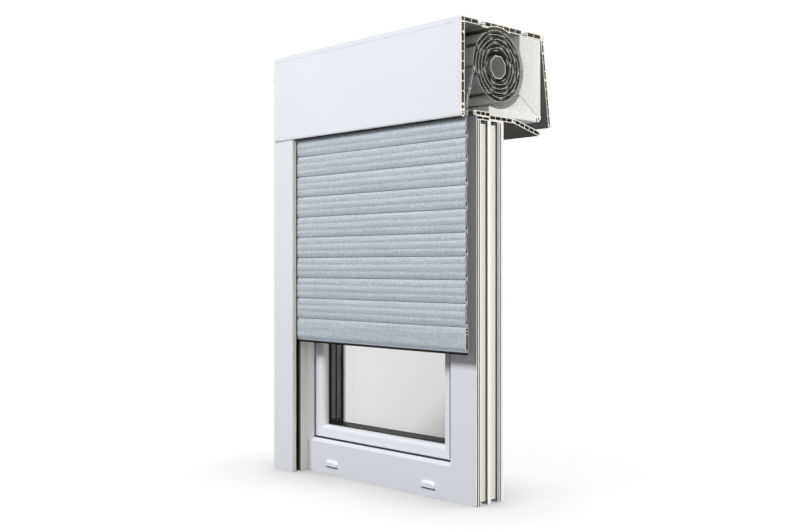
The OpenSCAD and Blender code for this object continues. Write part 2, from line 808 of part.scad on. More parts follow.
// Neck and round bead at the upper edge, as points from the face side to the back
function bead_points(s0) = let (b = slat_pitch) [
  [s0, neck_half], [b - bead_rise, neck_half], [b - bead_rise, bead_half * 0.7], [b - bead_rise * 0.4, bead_half],
  [b + bead_rise * 0.4, bead_half], [b + bead_rise, bead_half * 0.6], [b + bead_rise, -bead_half * 0.6],
  [b + bead_rise * 0.4, -bead_half], [b - bead_rise * 0.4, -bead_half], [b - bead_rise, -bead_half * 0.7],
  [b - bead_rise, -neck_half], [s0, -neck_half]
];

// Pocket with two lips at the lower edge, from the back to the face side
function pocket_points() = [
  [s_lip, -lip_half], [s_lip + lip_h, -lip_half], [s_lip + lip_h, -pocket_half], [s_pocket, -pocket_half],
  [s_pocket, pocket_half], [s_lip + lip_h, pocket_half], [s_lip + lip_h, lip_half], [s_lip, lip_half]
];

function slat_points(n) = concat(
  [for (s = between(s_lip, s_body, n)) [s, face_v(s)]],
  bead_points(s_body),
  [for (s = between(s_body, hollow_s0, 8)) [s, back_v(s)]],
  [[s_lip, -slat_edge]],
  pocket_points()
);

// Chambers of the slat between its pocket and its shoulder
chamber_n = 3;
chamber_s0 = s_pocket + slat_wall;
chamber_len = (s_body - slat_wall - chamber_s0 - (chamber_n - 1) * slat_wall) / chamber_n;
function chamber_points(i, n) = let (a = chamber_s0 + i * (chamber_len + slat_wall), b = a + chamber_len) concat(
  [for (s = between(a, b, n)) [s, face_v(s) - slat_wall]],
  [for (s = between(b, a, n)) [s, back_v(s) + slat_wall]]
);

// Straight slat, bowed slat and slat on the roll
function bowed(p, bow) = let (t = p[0] / slat_pitch) [-p[1] + bow * 4 * t * (1 - t), p[0]];
function spiral_angle(s) = (roll_r - sqrt(roll_r * roll_r - 2 * spiral_b * s)) / spiral_b;
function on_roll(k, p) = let (
  f = spiral_angle(k * slat_pitch + p[0]),
  r = roll_r - spiral_b * f + p[1],
  a = leave_a - f * 180 / PI
) [shaft_y + r * cos(a), shaft_z + r * sin(a)];

module flat_slat(bow) {
  difference() {
    polygon([for (p = slat_points(12)) bowed(p, bow)]);
    for (i = [0:chamber_n - 1]) polygon([for (p = chamber_points(i, 4)) bowed(p, bow)]);
  }
}

module wound_slat(k) {
  difference() {
    polygon([for (p = slat_points(12)) on_roll(k, p)]);
    for (i = [0:chamber_n - 1]) polygon([for (p = chamber_points(i, 4)) on_roll(k, p)]);
  }
}

module wound_group(g) {
  color(alu) at_frame() along_x(slat_x0, x1)
    for (k = [g * group_n:min(wound_n, (g + 1) * group_n) - 1]) wound_slat(k);
}

module wound_slats_1() { wound_group(0); }
module wound_slats_2() { wound_group(1); }
module wound_slats_3() { wound_group(2); }
module wound_slats_4() { wound_group(3); }
module wound_slats_5() { wound_group(4); }

// Spring clips on the flat of the shaft under the last slat, which hold the roll on the shaft
end_angle = leave_a - spiral_angle(wound_n * slat_pitch - slat_pitch / 4) * 180 / PI;
clip_flat = 45 * round(end_angle / 45);
clip_turn = (leave_a - clip_flat) % 360;
clip_phi = (clip_turn + 360 * floor((spiral_angle(wound_n * slat_pitch) * 180 / PI - clip_turn) / 360)) * PI / 180;
clip_top = roll_r - spiral_b * clip_phi - slat_edge - 0.3;
clip_w = shaft_af * 0.85;
clip_inset = slat_pitch * 1.4;
clip_xs = [slat_x0 + clip_inset, (slat_x0 + x1) / 2, x1 - clip_inset];

module slat_hangers() {
  a = shaft_af / 2;
  color(steel) at_frame() for (x = clip_xs) along_x(x - clip_w / 2, x + clip_w / 2)
    translate([shaft_y, shaft_z]) rotate(clip_flat) polygon([
      [a, -8], [a + 1, -8], [a + 1, -5], [clip_top, -3], [clip_top, 3], [a + 1, 5], [a + 1, 8], [a, 8]
    ]);
}

// Curtain: slats hanging below the box mouth, two that lean up to the roll, and the end bar
module hung_slat(k) {
  color(alu) at_frame() along_x(slat_x0, x1)
    translate([curtain_y, mouth[1] - (hang_n + 1 - k) * slat_pitch]) flat_slat(0);
}

module lean_slat(from, to, bow) {
  color(alu) at_frame() along_x(slat_x0, x1)
    translate(from) rotate(-atan2(to[0] - from[0], to[1] - from[1])) flat_slat(bow);
}

module slat_01() { hung_slat(1); }
module slat_02() { hung_slat(2); }
module slat_03() { hung_slat(3); }
module slat_04() { hung_slat(4); }
module slat_05() { hung_slat(5); }
module slat_06() { hung_slat(6); }
module slat_07() { hung_slat(7); }
module slat_08() { hung_slat(8); }
module slat_09() { hung_slat(9); }
module slat_10() { lean_slat(mouth, bend, 0); }
module slat_11() { lean_slat(bend, leave, lean_bow); }

// End bar with a groove for its rubber strip
groove_half = 1.2;
groove_up = 3.2;

module end_bar() {
  h = bar_t / 2;
  w = 1.3;
  z_mid = bar_low + groove_up + w;
  z_cell = bar_top - 12;
  shift = mouth[1] - (hang_n + 1) * slat_pitch;
  color(alu) at_frame() along_x(slat_x0, x1) translate([curtain_y, 0]) difference() {
    union() {
      polygon([
        [-h + 0.6, bar_low], [-h, bar_low + 2], [-h, bar_top - 3], [-h + 0.6, bar_top],
        [h - 0.6, bar_top], [h, bar_top - 3], [h, bar_low + 2], [h - 0.6, bar_low]
      ]);
      polygon([for (p = bead_points(bar_top - shift - 0.5)) [-p[1], p[0] + shift]]);
    }
    translate([-groove_half, bar_low - 1]) square([2 * groove_half, groove_up + 1]);
    translate([-h + w, z_mid]) square([bar_t - 2 * w, z_cell - w - z_mid]);
    translate([-h + w, z_cell]) square([bar_t - 2 * w, 4.4]);
    translate([-h + w, z_cell + 4.4 + w]) square([bar_t - 2 * w, 4.4]);
  }
}

module end_bar_strip() {
  g = groove_half - 0.1;
  h = groove_up - 0.5;
  color(rubber) at_frame() along_x(slat_x0, x1) translate([curtain_y, bar_low]) polygon([
    [-2.2, -strip_h], [2.2, -strip_h], [2.8, 0], [g, 0], [g, h], [-g, h], [-g, 0], [-2.8, 0]
  ]);
}

// Covers in the positions of the display piece
module rear_cover() {
  color(plastic) at_frame() about_x(cover_y, cover_z, cover_open)
    along_x(x0, x1) translate([cover_y, cover_z]) hanging_strip(cover_r, cover_len);
}

module base_cover() {
  n = 5;
  color(plastic) at_frame() about_x(flap_y, flap_z, -flap_open)
    along_x(x0, x1) translate([flap_y, flap_z]) difference() {
      union() {
        circle(flap_r);
        translate([0, -flap_r]) square([flap_len - flap_r, base_t]);
        translate([flap_len - flap_r, 0]) circle(flap_r);
      }
      chambers_along(flap_r / 2, flap_len - flap_r, -flap_r, flap_r, n);
      translate([flap_len - flap_r, 0]) circle(flap_r * 0.45);
      circle(flap_r / 2);
    }
}

box_front_panel();
box_top_panel();
box_base_panel();
frame_adapter();
slot_seal_blade();
insulation_rear();
insulation_base();
corner_profile();
left_end_plate();
motor_head();
motor_tube();
guide_rail();
rail_brushes();
frame_sill();
frame_head();
frame_left_jamb();
frame_right_jamb();
stop_gasket();
drain_caps();
hinge_pins();
shaft_tube();
crown_ring();
drive_wheel();
slat_hangers();
wound_slats_1();
wound_slats_2();
wound_slats_3();
wound_slats_4();
wound_slats_5();
slat_01();
slat_02();
slat_03();
slat_04();
slat_05();
slat_06();
slat_07();
slat_08();
slat_09();
slat_10();
slat_11();
end_bar();
end_bar_strip();
sash_sill();
sash_head();
sash_left_stile();
sash_right_stile();
pane_outer();
pane_middle();
pane_inner();
glass_spacers();
glass_gaskets();
glazing_beads();
hinge_knuckles();
handle_rose();
handle_lever();
rear_cover();
base_cover();
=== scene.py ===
import math
import bpy
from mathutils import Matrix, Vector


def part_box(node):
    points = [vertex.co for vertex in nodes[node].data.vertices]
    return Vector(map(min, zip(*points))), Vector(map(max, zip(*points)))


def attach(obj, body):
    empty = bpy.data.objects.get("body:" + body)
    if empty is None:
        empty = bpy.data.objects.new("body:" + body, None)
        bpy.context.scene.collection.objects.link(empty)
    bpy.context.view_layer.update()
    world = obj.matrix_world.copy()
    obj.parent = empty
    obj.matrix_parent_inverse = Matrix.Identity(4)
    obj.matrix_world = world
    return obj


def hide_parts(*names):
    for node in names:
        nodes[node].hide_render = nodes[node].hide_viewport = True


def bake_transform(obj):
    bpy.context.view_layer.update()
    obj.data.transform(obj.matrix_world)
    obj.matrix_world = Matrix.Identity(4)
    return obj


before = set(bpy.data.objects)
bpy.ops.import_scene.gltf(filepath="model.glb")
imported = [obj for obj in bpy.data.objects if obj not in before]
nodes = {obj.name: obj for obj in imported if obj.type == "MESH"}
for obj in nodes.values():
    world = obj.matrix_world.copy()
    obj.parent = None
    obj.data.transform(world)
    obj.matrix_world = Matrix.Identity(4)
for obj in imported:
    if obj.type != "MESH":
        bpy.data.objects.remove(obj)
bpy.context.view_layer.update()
print("frame loaded:", len(nodes), "nodes")

perMetre = 1000  # sections are drawn in millimetres
near = 1e-5  # points closer than this lie on the same face or edge
facing = 0.9  # a face looks along an axis when its normal has more than this share of it
far = 9  # a limit that nothing reaches
anywhere = (-far, far)


# Selecting and finishing objects
def activeObject():
    return bpy.context.view_layer.objects.active


def enterMode(mode):
    bpy.ops.object.mode_set(mode=mode)


def clearSelection():
    active = activeObject()
    if active and active.mode != "OBJECT":
        enterMode("OBJECT")
    bpy.ops.object.select_all(action="DESELECT")


def pickOnly(obj):
    clearSelection()
    obj.select_set(True)
    bpy.context.view_layer.objects.active = obj


def addObject(name, data):
    obj = bpy.data.objects.new(name, data)
    bpy.context.scene.collection.objects.link(obj)
    return obj


def applyPlace(obj):
    pickOnly(obj)
    bpy.ops.object.transform_apply(location=True, rotation=True, scale=True)


def addBlock(name, middle, size):
    # starting block, to be shaped further
    clearSelection()
    bpy.ops.mesh.primitive_cube_add(size=1, location=middle)
    block = activeObject()
    block.name = name
    block.scale = size
    applyPlace(block)
    return block


def smoothByAngle(obj, degrees):
    pickOnly(obj)
    bpy.ops.object.shade_smooth_by_angle(angle=math.radians(degrees))


def roundEdges(obj, width, steps, degrees):
    # rounds the edges that turn by more than the angle
    pickOnly(obj)
    bevel = obj.modifiers.new("Bevel", "BEVEL")
    bevel.width = width
    bevel.segments = steps
    bevel.limit_method = "ANGLE"
    bevel.angle_limit = math.radians(degrees)
    bpy.ops.object.modifier_apply(modifier=bevel.name)


def selectAll():
    bpy.ops.mesh.select_all(action="SELECT")


def insetBy(width, depth=0):
    bpy.ops.mesh.inset(thickness=width, depth=depth)


def extrudeBy(move):
    bpy.ops.mesh.extrude_region_move(TRANSFORM_OT_translate={"value": move})


def closeMesh(obj):
    mergeDistance = 1e-6
    pickOnly(obj)
    enterMode("EDIT")
    selectAll()
    bpy.ops.mesh.remove_doubles(threshold=mergeDistance)
    bpy.ops.mesh.normals_make_consistent(inside=False)
    enterMode("OBJECT")


def liesAt(axis, value, *points):
    # all the points have this place along the axis
    return all(abs(point[axis] - value) < near for point in points)


def selectWhere(obj, faceTest=None, edgeTest=None):
    # goes into edit mode with only the faces or edges that pass the test selected
    enterMode("EDIT")
    bpy.ops.mesh.select_all(action="DESELECT")
    bpy.ops.mesh.select_mode(type="FACE" if faceTest else "EDGE")
    enterMode("OBJECT")
    mesh = obj.data
    if faceTest:
        for face in mesh.polygons:
            face.select = bool(faceTest(face.center, face.normal))
    else:
        for edge in mesh.edges:
            ends = [mesh.vertices[index].co for index in edge.vertices]
            edge.select = bool(edgeTest(*ends))
    enterMode("EDIT")


def bevelWhere(obj, edgeTest, width, steps):
    selectWhere(obj, edgeTest=edgeTest)
    bpy.ops.mesh.bevel(offset=width, segments=steps, affect="EDGES")
    enterMode("OBJECT")


def resizeWhere(obj, value, centre, faceTest=None, edgeTest=None):
    selectWhere(obj, faceTest, edgeTest)
    bpy.ops.transform.resize(value=value, center_override=centre)
    enterMode("OBJECT")


def paint(obj, *materials):
    for material in materials:
        obj.data.materials.append(material)


def joinInto(name, parts):
    clearSelection()
    for part in parts:
        part.select_set(True)
    bpy.context.view_layer.objects.active = parts[0]
    bpy.ops.object.join()
    joined = activeObject()
    joined.name = name
    return joined


# Building node materials
def fromScreen(red, green, blue):
    # colour as a screen shows it, 0 to 255, to the renderer's scale
    channel = []
    for value in (red, green, blue):
        value = value / 255
        channel.append(value / 12.92 if value <= 0.04045 else ((value + 0.055) / 1.055) ** 2.4)
    return (channel[0], channel[1], channel[2], 1)


def newMaterial(name):
    material = bpy.data.materials.new(name)
    material.use_nodes = True
    tree = material.node_tree
    return material, tree, tree.nodes["Principled BSDF"]


def feed(tree, node, values):
    # links or sets the inputs of a node
    for name, value in values.items():
        if isinstance(value, bpy.types.NodeSocket):
            tree.links.new(value, node.inputs[name])
        else:
            node.inputs[name].default_value = value


def addNode(tree, kind, values, **settings):
    node = tree.nodes.new("ShaderNode" + kind)
    for name, setting in settings.items():
        setattr(node, name, setting)
    feed(tree, node, values)
    return node


def calc(tree, operation, a, b=0.0):
    return addNode(tree, "Math", {0: a, 1: b}, operation=operation).outputs[0]


def times(tree, a, b):
    return calc(tree, "MULTIPLY", a, b)


def minus(tree, a, b):
    return calc(tree, "SUBTRACT", a, b)


def reachOf(tree, a, b):
    # length of a line with these two legs
    return calc(tree, "SQRT", calc(tree, "ADD", times(tree, a, a), times(tree, b, b)))


def mixColour(tree, factor, a, b):
    return addNode(tree, "Mix", {0: factor, 6: a, 7: b}, data_type="RGBA").outputs[2]


def place(tree, scale=(1, 1, 1)):
    point = addNode(tree, "TexCoord", {}).outputs["Object"]
    return addNode(tree, "Mapping", {"Scale": scale, "Vector": point}).outputs["Vector"]


def axes(tree, kind="Object"):
    point = addNode(tree, "TexCoord", {}).outputs[kind]
    split = addNode(tree, "SeparateXYZ", {"Vector": point})
    return [split.outputs[name] for name in "XYZ"]


def noise(tree, vector, scale, detail=2.0, rough=0.5):
    values = {"Vector": vector, "Scale": scale, "Detail": detail, "Roughness": rough}
    return addNode(tree, "TexNoise", values).outputs["Fac"]


def spread(tree, value, low, high, toLow=0.0, toHigh=1.0):
    values = {"Value": value, "From Min": low, "From Max": high, "To Min": toLow, "To Max": toHigh}
    return addNode(tree, "MapRange", values).outputs["Result"]


def bump(tree, shader, height, strength, distance):
    node = addNode(tree, "Bump", {"Strength": strength, "Distance": distance, "Height": height})
    feed(tree, shader, {"Normal": node.outputs["Normal"]})


finished = []


def finishNodes(material, *nodeNames):
    # puts a finish on CAD nodes
    for nodeName in nodeNames:
        for slotOfNode in nodes[nodeName].material_slots:
            slotOfNode.material = material
        finished.append(nodeName)


# Masks: 1 in the named region, 0 elsewhere
def between(tree, value, low, high):
    above = calc(tree, "GREATER_THAN", value, low)
    return times(tree, above, calc(tree, "LESS_THAN", value, high))


def outside(tree, mask):
    return minus(tree, 1.0, mask)


def box(x=anywhere, y=anywhere, z=anywhere):
    # a block of space
    def mask(tree):
        pairs = zip(axes(tree), (x, y, z))
        parts = [between(tree, axis, *limits) for axis, limits in pairs if limits != anywhere]
        inside = parts[0]
        for part in parts[1:]:
            inside = times(tree, inside, part)
        return inside
    return mask


def inSlab(tree, point, normal, low, high):
    # between two distances from a plane through the point, with its normal in the Y-Z plane
    y, z = axes(tree)[1:]
    alongY = times(tree, minus(tree, y, point[0]), normal[0])
    alongZ = times(tree, minus(tree, z, point[1]), normal[1])
    return between(tree, calc(tree, "ADD", alongY, alongZ), low, high)


def coverShadeSlab(hinge, angle, inner):
    # core and inner skin of a cover that stands at an angle on its hinge, which get painted shade
    normal = (math.cos(math.radians(angle)), math.sin(math.radians(angle)))
    return lambda tree: inSlab(tree, hinge, normal, *inner)


# Hard plastic of the window and the box
plasticSpec = {
    "white": fromScreen(235, 238, 244), "cloudy": fromScreen(228, 232, 239),
    "cloudScale": 2.2, "cloudRange": (0.35, 0.65),
    # painted shade: grey for hidden panel walls, paler inside the box, cooler inside the rear cover
    "coreShade": (fromScreen(140, 137, 129), fromScreen(116, 113, 106)),
    "boxInsideShade": (fromScreen(194, 192, 184), fromScreen(170, 168, 160)),
    "coverInsideShade": (fromScreen(148, 148, 145), fromScreen(127, 127, 124)),
    "coreScale": 900, "coreStretch": (0.2, 1, 1), "coreRange": (0.35, 0.7),
    "sawn": (fromScreen(246, 245, 238), fromScreen(232, 229, 218)), "cutX": 0.2754,
    "sawScale": 1600, "sawStretch": (1, 0.15, 1), "sawRange": (0.3, 0.75),
    "sheen": 0.5, "roughness": (0.28, 0.4), "dullRoughness": 0.85,
    "glossScale": 60, "glossRange": (0.3, 0.7),
    "dimpleScale": 420, "dimpleStrength": 0.05, "dimpleDepth": 0.0004, "detail": 3.0,
}


def plastic(name, coreShade=None, coreShadeTones=plasticSpec["coreShade"], cutX=None, white=plasticSpec["white"], tones=()):
    # the core mask marks a panel's hidden inner walls and chambers, painted grey and dull as painted shade;
    # beyond cutX the sawn face is cream
    # tones are blocks laid over all of it, each with its colour and whether it keeps a sheen
    spec = plasticSpec
    material, tree, shader = newMaterial(name)
    clouds = noise(tree, place(tree), spec["cloudScale"])
    colour = mixColour(tree, spread(tree, clouds, *spec["cloudRange"]), white, spec["cloudy"])
    sheen = spec["sheen"]
    if coreShade:
        inCoreShade = coreShade(tree)
        grain = noise(tree, place(tree, spec["coreStretch"]), spec["coreScale"], spec["detail"])
        coreShadeColour = mixColour(tree, spread(tree, grain, *spec["coreRange"]), *coreShadeTones)
        colour = mixColour(tree, inCoreShade, colour, coreShadeColour)
        sheen = times(tree, outside(tree, inCoreShade), sheen)
    if cutX:
        saw = noise(tree, place(tree, spec["sawStretch"]), spec["sawScale"], spec["detail"])
        cutColour = mixColour(tree, spread(tree, saw, *spec["sawRange"]), *spec["sawn"])
        atEnd = calc(tree, "GREATER_THAN", calc(tree, "ABSOLUTE", axes(tree)[0]), cutX)
        colour = mixColour(tree, atEnd, colour, cutColour)
    for where, tone, shiny in tones:
        inBlock = box(**where)(tree)
        colour = mixColour(tree, inBlock, colour, tone)
        if not shiny:
            sheen = times(tree, outside(tree, inBlock), sheen)
    gloss = noise(tree, place(tree), spec["glossScale"], spec["detail"])
    rough = spread(tree, gloss, *spec["glossRange"], *spec["roughness"])
    if isinstance(sheen, bpy.types.NodeSocket):
        dull = spread(tree, sheen, 0.0, spec["sheen"], spec["dullRoughness"], 0.0)
        rough = calc(tree, "MAXIMUM", rough, dull)
    feed(tree, shader, {"Base Color": colour, "Specular IOR Level": sheen, "Roughness": rough})
    dimples = noise(tree, place(tree), spec["dimpleScale"], spec["detail"])
    bump(tree, shader, dimples, spec["dimpleStrength"], spec["dimpleDepth"])
    return material


cut = plasticSpec["cutX"]
frameWhite = fromScreen(229, 232, 238)
whitePlastic = plastic("whitePlastic")
finishNodes(whitePlastic, "left_end_plate", "sash_sill", "sash_head", "sash_right_stile")
finishNodes(plastic("framePlastic", white=frameWhite), "frame_sill", "frame_head", "frame_left_jamb")
finishNodes(plastic("beadPlastic", white=fromScreen(240, 236, 221)), "glazing_beads")

# front panel: painted highlight along its lower edge, painted shade under its foot and on its inner walls
frontPanelSpec = {
    "coreShade": box(y=(-0.0787, far), z=(0.7112, 0.8825)), "coreShadeTones": plasticSpec["boxInsideShade"], "cutX": cut,
    "tones": (
        ({"x": (-far, cut), "y": (-far, -0.0782), "z": (0.7, 0.7128)}, fromScreen(253, 253, 255), True),
        ({"x": (-0.2105, cut), "y": (-0.0782, 0), "z": (0.7, 0.7125)}, fromScreen(30, 30, 29), False),
    ),
}
finishNodes(plastic("frontPanelPlastic", **frontPanelSpec), "box_front_panel")

# top panel: painted shade in its grooves and on its inner walls
grooveShade = fromScreen(164, 171, 184)
topPanelSpec = {
    "coreShade": box(y=(-0.0787, 0.1587), z=(0, 0.8907)), "coreShadeTones": plasticSpec["boxInsideShade"], "cutX": cut,
    "tones": (
        ({"x": (-far, cut), "y": (-0.0326, -0.0154), "z": (0.88, 0.8909)}, grooveShade, False),
        ({"x": (-far, cut), "y": (0.0914, 0.1086), "z": (0.88, 0.8909)}, grooveShade, False),
    ),
}
finishNodes(plastic("topPanelPlastic", **topPanelSpec), "box_top_panel")

# base panel painted grey throughout and adapter painted grey behind its front, both as painted shade and
# both with sawn ends
basePanelSpec = {"coreShade": box(z=(0, far)), "cutX": cut}
finishNodes(plastic("basePanelPlastic", **basePanelSpec), "box_base_panel")
adapterSpec = {"coreShade": box(y=(-0.037, far)), "cutX": cut}
finishNodes(plastic("adapterPlastic", **adapterSpec), "frame_adapter")
finishNodes(plastic("cornerPlastic", cutX=cut), "corner_profile")

# covers: hinge in Y and Z, angle at rest in degrees and inner side along the normal; the inner side gets
# painted shade
rearCoverSpec = {
    "coreShade": coverShadeSlab(hinge=(0.15525, 0.87725), angle=8.1, inner=(-0.01, 0.0026)),
    "coreShadeTones": plasticSpec["coverInsideShade"], "cutX": cut,
}
finishNodes(plastic("rearCoverPlastic", **rearCoverSpec), "rear_cover")
baseCoverSpec = {"coreShade": coverShadeSlab(hinge=(0.0695, 0.716), angle=77, inner=(-0.01, 0.0033)), "cutX": cut}
finishNodes(plastic("baseCoverPlastic", **baseCoverSpec), "base_cover")

# right jamb: painted shade on the sunk faces of the channels and fine grooves in its outer side, darkest in
# a strip at its front and one at its rear; its outer side cream like a sawn face, pale front face and
# outermost ribs
sunk = (0.2704, 0.2752)
jambSpec = {
    "cutX": 0.2692, "white": frameWhite,
    "tones": (
        ({"x": sunk}, fromScreen(112, 116, 122), False),
        ({"x": sunk, "y": (-0.0377, -0.0235)}, fromScreen(30, 29, 27), False),
        ({"x": sunk, "y": (0.0235, 0.0377)}, fromScreen(30, 29, 27), False),
        ({"x": (0.2, sunk[1]), "y": (-far, -0.0377)}, frameWhite, True),
        ({"x": (sunk[1], 0.28)}, fromScreen(250, 250, 247), True),
    ),
}
finishNodes(plastic("jambPlastic", **jambSpec), "frame_right_jamb")

# guide rail: painted warm shade on the inner side of the lips, a painted shade line along the front lip's
# rear edge and painted shade in the slot between them
railSpec = {
    "white": fromScreen(232, 235, 241),
    "tones": (
        ({"x": (-0.2125, -0.2)}, fromScreen(230, 229, 221), True),
        ({"x": (-0.2125, -0.2), "y": (-0.0706, -0.0692)}, fromScreen(44, 44, 43), False),
        ({"x": (-0.25, -0.2112), "y": (-0.0695, -0.0585)}, fromScreen(84, 84, 81), False),
    ),
}
finishNodes(plastic("railPlastic", **railSpec), "guide_rail")

# left stile: painted warm light on its inner slope
stileSpec = {"tones": (({"x": (-0.1795, -0.17)}, fromScreen(246, 245, 240), True),)}
finishNodes(plastic("stilePlastic", **stileSpec), "sash_left_stile")
print("plastic ready")

# Painted slats
slatPaintSpec = {
    "light": fromScreen(206, 214, 221), "dark": fromScreen(151, 161, 169), "toneRange": (0.41, 0.59),
    "speckleScale": 900, "speckleStretch": (0.7, 1, 1), "speckleRough": 0.6, "speckleShare": 0.82,
    "streakScale": 420, "streakStretch": (0.02, 1, 1),
    "roughness": (0.5, 0.62), "roughRange": (0.3, 0.7), "sheen": 0.5, "metallic": 0.08,
    "bumpStrength": 0.03, "bumpDepth": 0.0002,
}


def slatPaint(name, light, dark, tones=()):
    # tones are masks with a colour, or with a function that gives one, and have no sheen
    spec = slatPaintSpec
    material, tree, shader = newMaterial(name)
    specklePlace = place(tree, spec["speckleStretch"])
    speckle = noise(tree, specklePlace, spec["speckleScale"], rough=spec["speckleRough"])
    streak = noise(tree, place(tree, spec["streakStretch"]), spec["streakScale"])
    share = spec["speckleShare"]
    both = calc(tree, "ADD", times(tree, speckle, share), times(tree, streak, 1 - share))
    colour = mixColour(tree, spread(tree, both, *spec["toneRange"]), dark, light)
    sheen = spec["sheen"]
    for mask, tone in tones:
        covered = mask(tree)
        colour = mixColour(tree, covered, colour, tone(tree) if callable(tone) else tone)
        sheen = times(tree, outside(tree, covered), sheen)
    rough = spread(tree, speckle, *spec["roughRange"], *spec["roughness"])
    metallic = 0.0 if tones else spec["metallic"]
    feed(tree, shader, {"Base Color": colour, "Specular IOR Level": sheen})
    feed(tree, shader, {"Metallic": metallic, "Roughness": rough})
    bump(tree, shader, speckle, spec["bumpStrength"], spec["bumpDepth"])
    return material


# Roll: the slats leave it at an angle, and each turn lies one layer further in
rollSpec = {
    "axis": (0.0227, 0.8118), "radius": 0.067, "leave": 187.6, "layer": 0.008, "pitch": 0.043, "turns": 6,
    "backRoom": 0.0034, "faceRoom": 0.0012, "skins": ((0.0004, 0.0017), (0.0061, 0.0078)),
    # painted light: the wound slats' light and dark tones are paler than the hanging slats' paint
    "jointRange": (0.68, 1.0), "light": fromScreen(236, 240, 233), "dark": fromScreen(200, 204, 197),
    "joint": fromScreen(64, 66, 62), "inner": fromScreen(102, 103, 97),
    "skin": fromScreen(216, 219, 211), "betweenSkins": fromScreen(98, 99, 95),
}


def onRoll(tree):
    # distance from the middle line of the outermost turn, and the angle wound since the slats leave the roll
    spec = rollSpec
    fullTurn = 2 * math.pi
    y, z = axes(tree)[1:]
    dy = minus(tree, y, spec["axis"][0])
    dz = minus(tree, z, spec["axis"][1])
    start = math.radians(spec["leave"]) + 2 * fullTurn
    turn = minus(tree, start, calc(tree, "ARCTAN2", dz, dy))
    turn = calc(tree, "MODULO", turn, fullTurn)
    drop = times(tree, turn, spec["layer"] / fullTurn)
    reach = calc(tree, "ADD", reachOf(tree, dy, dz), drop)
    return minus(tree, reach, spec["radius"]), turn


def innerTurns(tree):
    # 1 on everything under the outermost turn of the roll, where painted shade goes
    return calc(tree, "LESS_THAN", onRoll(tree)[0], rollSpec["faceRoom"])


def rollJointShade(tree):
    # rises to 1 at the joints of the outermost turn, for painted shade across each slat's curve and in the
    # gaps
    spec = rollSpec
    turn = onRoll(tree)[1]
    slack = times(tree, times(tree, turn, turn), spec["layer"] / (4 * math.pi))
    along = minus(tree, times(tree, turn, spec["radius"]), slack)
    share = calc(tree, "FRACT", calc(tree, "DIVIDE", along, spec["pitch"]))
    edge = calc(tree, "ABSOLUTE", minus(tree, times(tree, share, 2.0), 1.0))
    return spread(tree, edge, *spec["jointRange"])


def sawnShell(tree):
    # sawn end of the roll: bright along the two skins of each slat, painted shade between them
    spec = rollSpec
    raised = calc(tree, "ADD", onRoll(tree)[0], spec["backRoom"] + spec["turns"] * spec["layer"])
    within = calc(tree, "MODULO", raised, spec["layer"])
    skins = [between(tree, within, *limits) for limits in spec["skins"]]
    return mixColour(tree, calc(tree, "ADD", *skins), spec["betweenSkins"], spec["skin"])


hangingPaint = slatPaint("hangingPaint", slatPaintSpec["light"], slatPaintSpec["dark"])
# paler paint as painted light, with painted shade at the joints, on the inner turns and between the skins of
# the sawn end
rolledPaint = slatPaint("rolledPaint", rollSpec["light"], rollSpec["dark"],
                        ((rollJointShade, rollSpec["joint"]), (innerTurns, rollSpec["inner"]),
                         (box(x=(cut, far)), sawnShell)))
woundNodes = [nodeName for nodeName in nodes if nodeName.startswith("wound_slats_")]
finishNodes(rolledPaint, *woundNodes)
slatCutFace = slatPaint("slatCutFace", fromScreen(186, 190, 184), fromScreen(166, 170, 165))
# painted shade for the walls of hollows in slats and of sunk slots
slatHollowShade = slatPaint("slatHollowShade", fromScreen(52, 54, 52), fromScreen(36, 38, 37))

# Foam of small beads
foamSpec = {
    "bead": 430, "light": fromScreen(240, 240, 240), "seamRange": (0.0, 0.12),
    "shade": fromScreen(216, 217, 217), "shadeRange": (0.72, 1.0),
    "pit": fromScreen(158, 158, 157), "pitScale": 640, "pitDetail": 1.0, "pitRange": (0.64, 0.74),
    "roughness": 0.85, "bumpStrength": 0.35, "bumpDepth": 0.0006,
    "parting": fromScreen(186, 174, 148), "partingHalf": 0.0007,
}


def partingLine(tree):
    # 1 along the slanting line where the two foam blocks meet
    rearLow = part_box("insulation_rear")[0]
    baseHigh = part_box("insulation_base")[1]
    start = (rearLow[1], baseHigh[2])
    run = (baseHigh[1] - start[0], rearLow[2] - start[1])
    length = math.hypot(*run)
    half = foamSpec["partingHalf"]
    return inSlab(tree, start, (-run[1] / length, run[0] / length), -half, half)


def foamBeads(name):
    spec = foamSpec
    material, tree, shader = newMaterial(name)
    cells = {"Scale": spec["bead"], "Vector": place(tree)}
    edges = addNode(tree, "TexVoronoi", cells, feature="DISTANCE_TO_EDGE")
    seam = spread(tree, edges.outputs["Distance"], *spec["seamRange"])
    beads = addNode(tree, "TexVoronoi", cells)
    beadTone = addNode(tree, "SeparateColor", {"Color": beads.outputs["Color"]})
    shaded = spread(tree, beadTone.outputs["Red"], *spec["shadeRange"])
    pits = spread(tree, noise(tree, place(tree), spec["pitScale"], spec["pitDetail"]), *spec["pitRange"])
    body = mixColour(tree, shaded, spec["light"], spec["shade"])
    body = mixColour(tree, pits, body, spec["pit"])
    body = mixColour(tree, seam, spec["shade"], body)
    body = mixColour(tree, partingLine(tree), body, spec["parting"])
    feed(tree, shader, {"Base Color": body, "Roughness": spec["roughness"]})
    bump(tree, shader, seam, spec["bumpStrength"], spec["bumpDepth"])
    return material


foam = foamBeads("foamBeads")

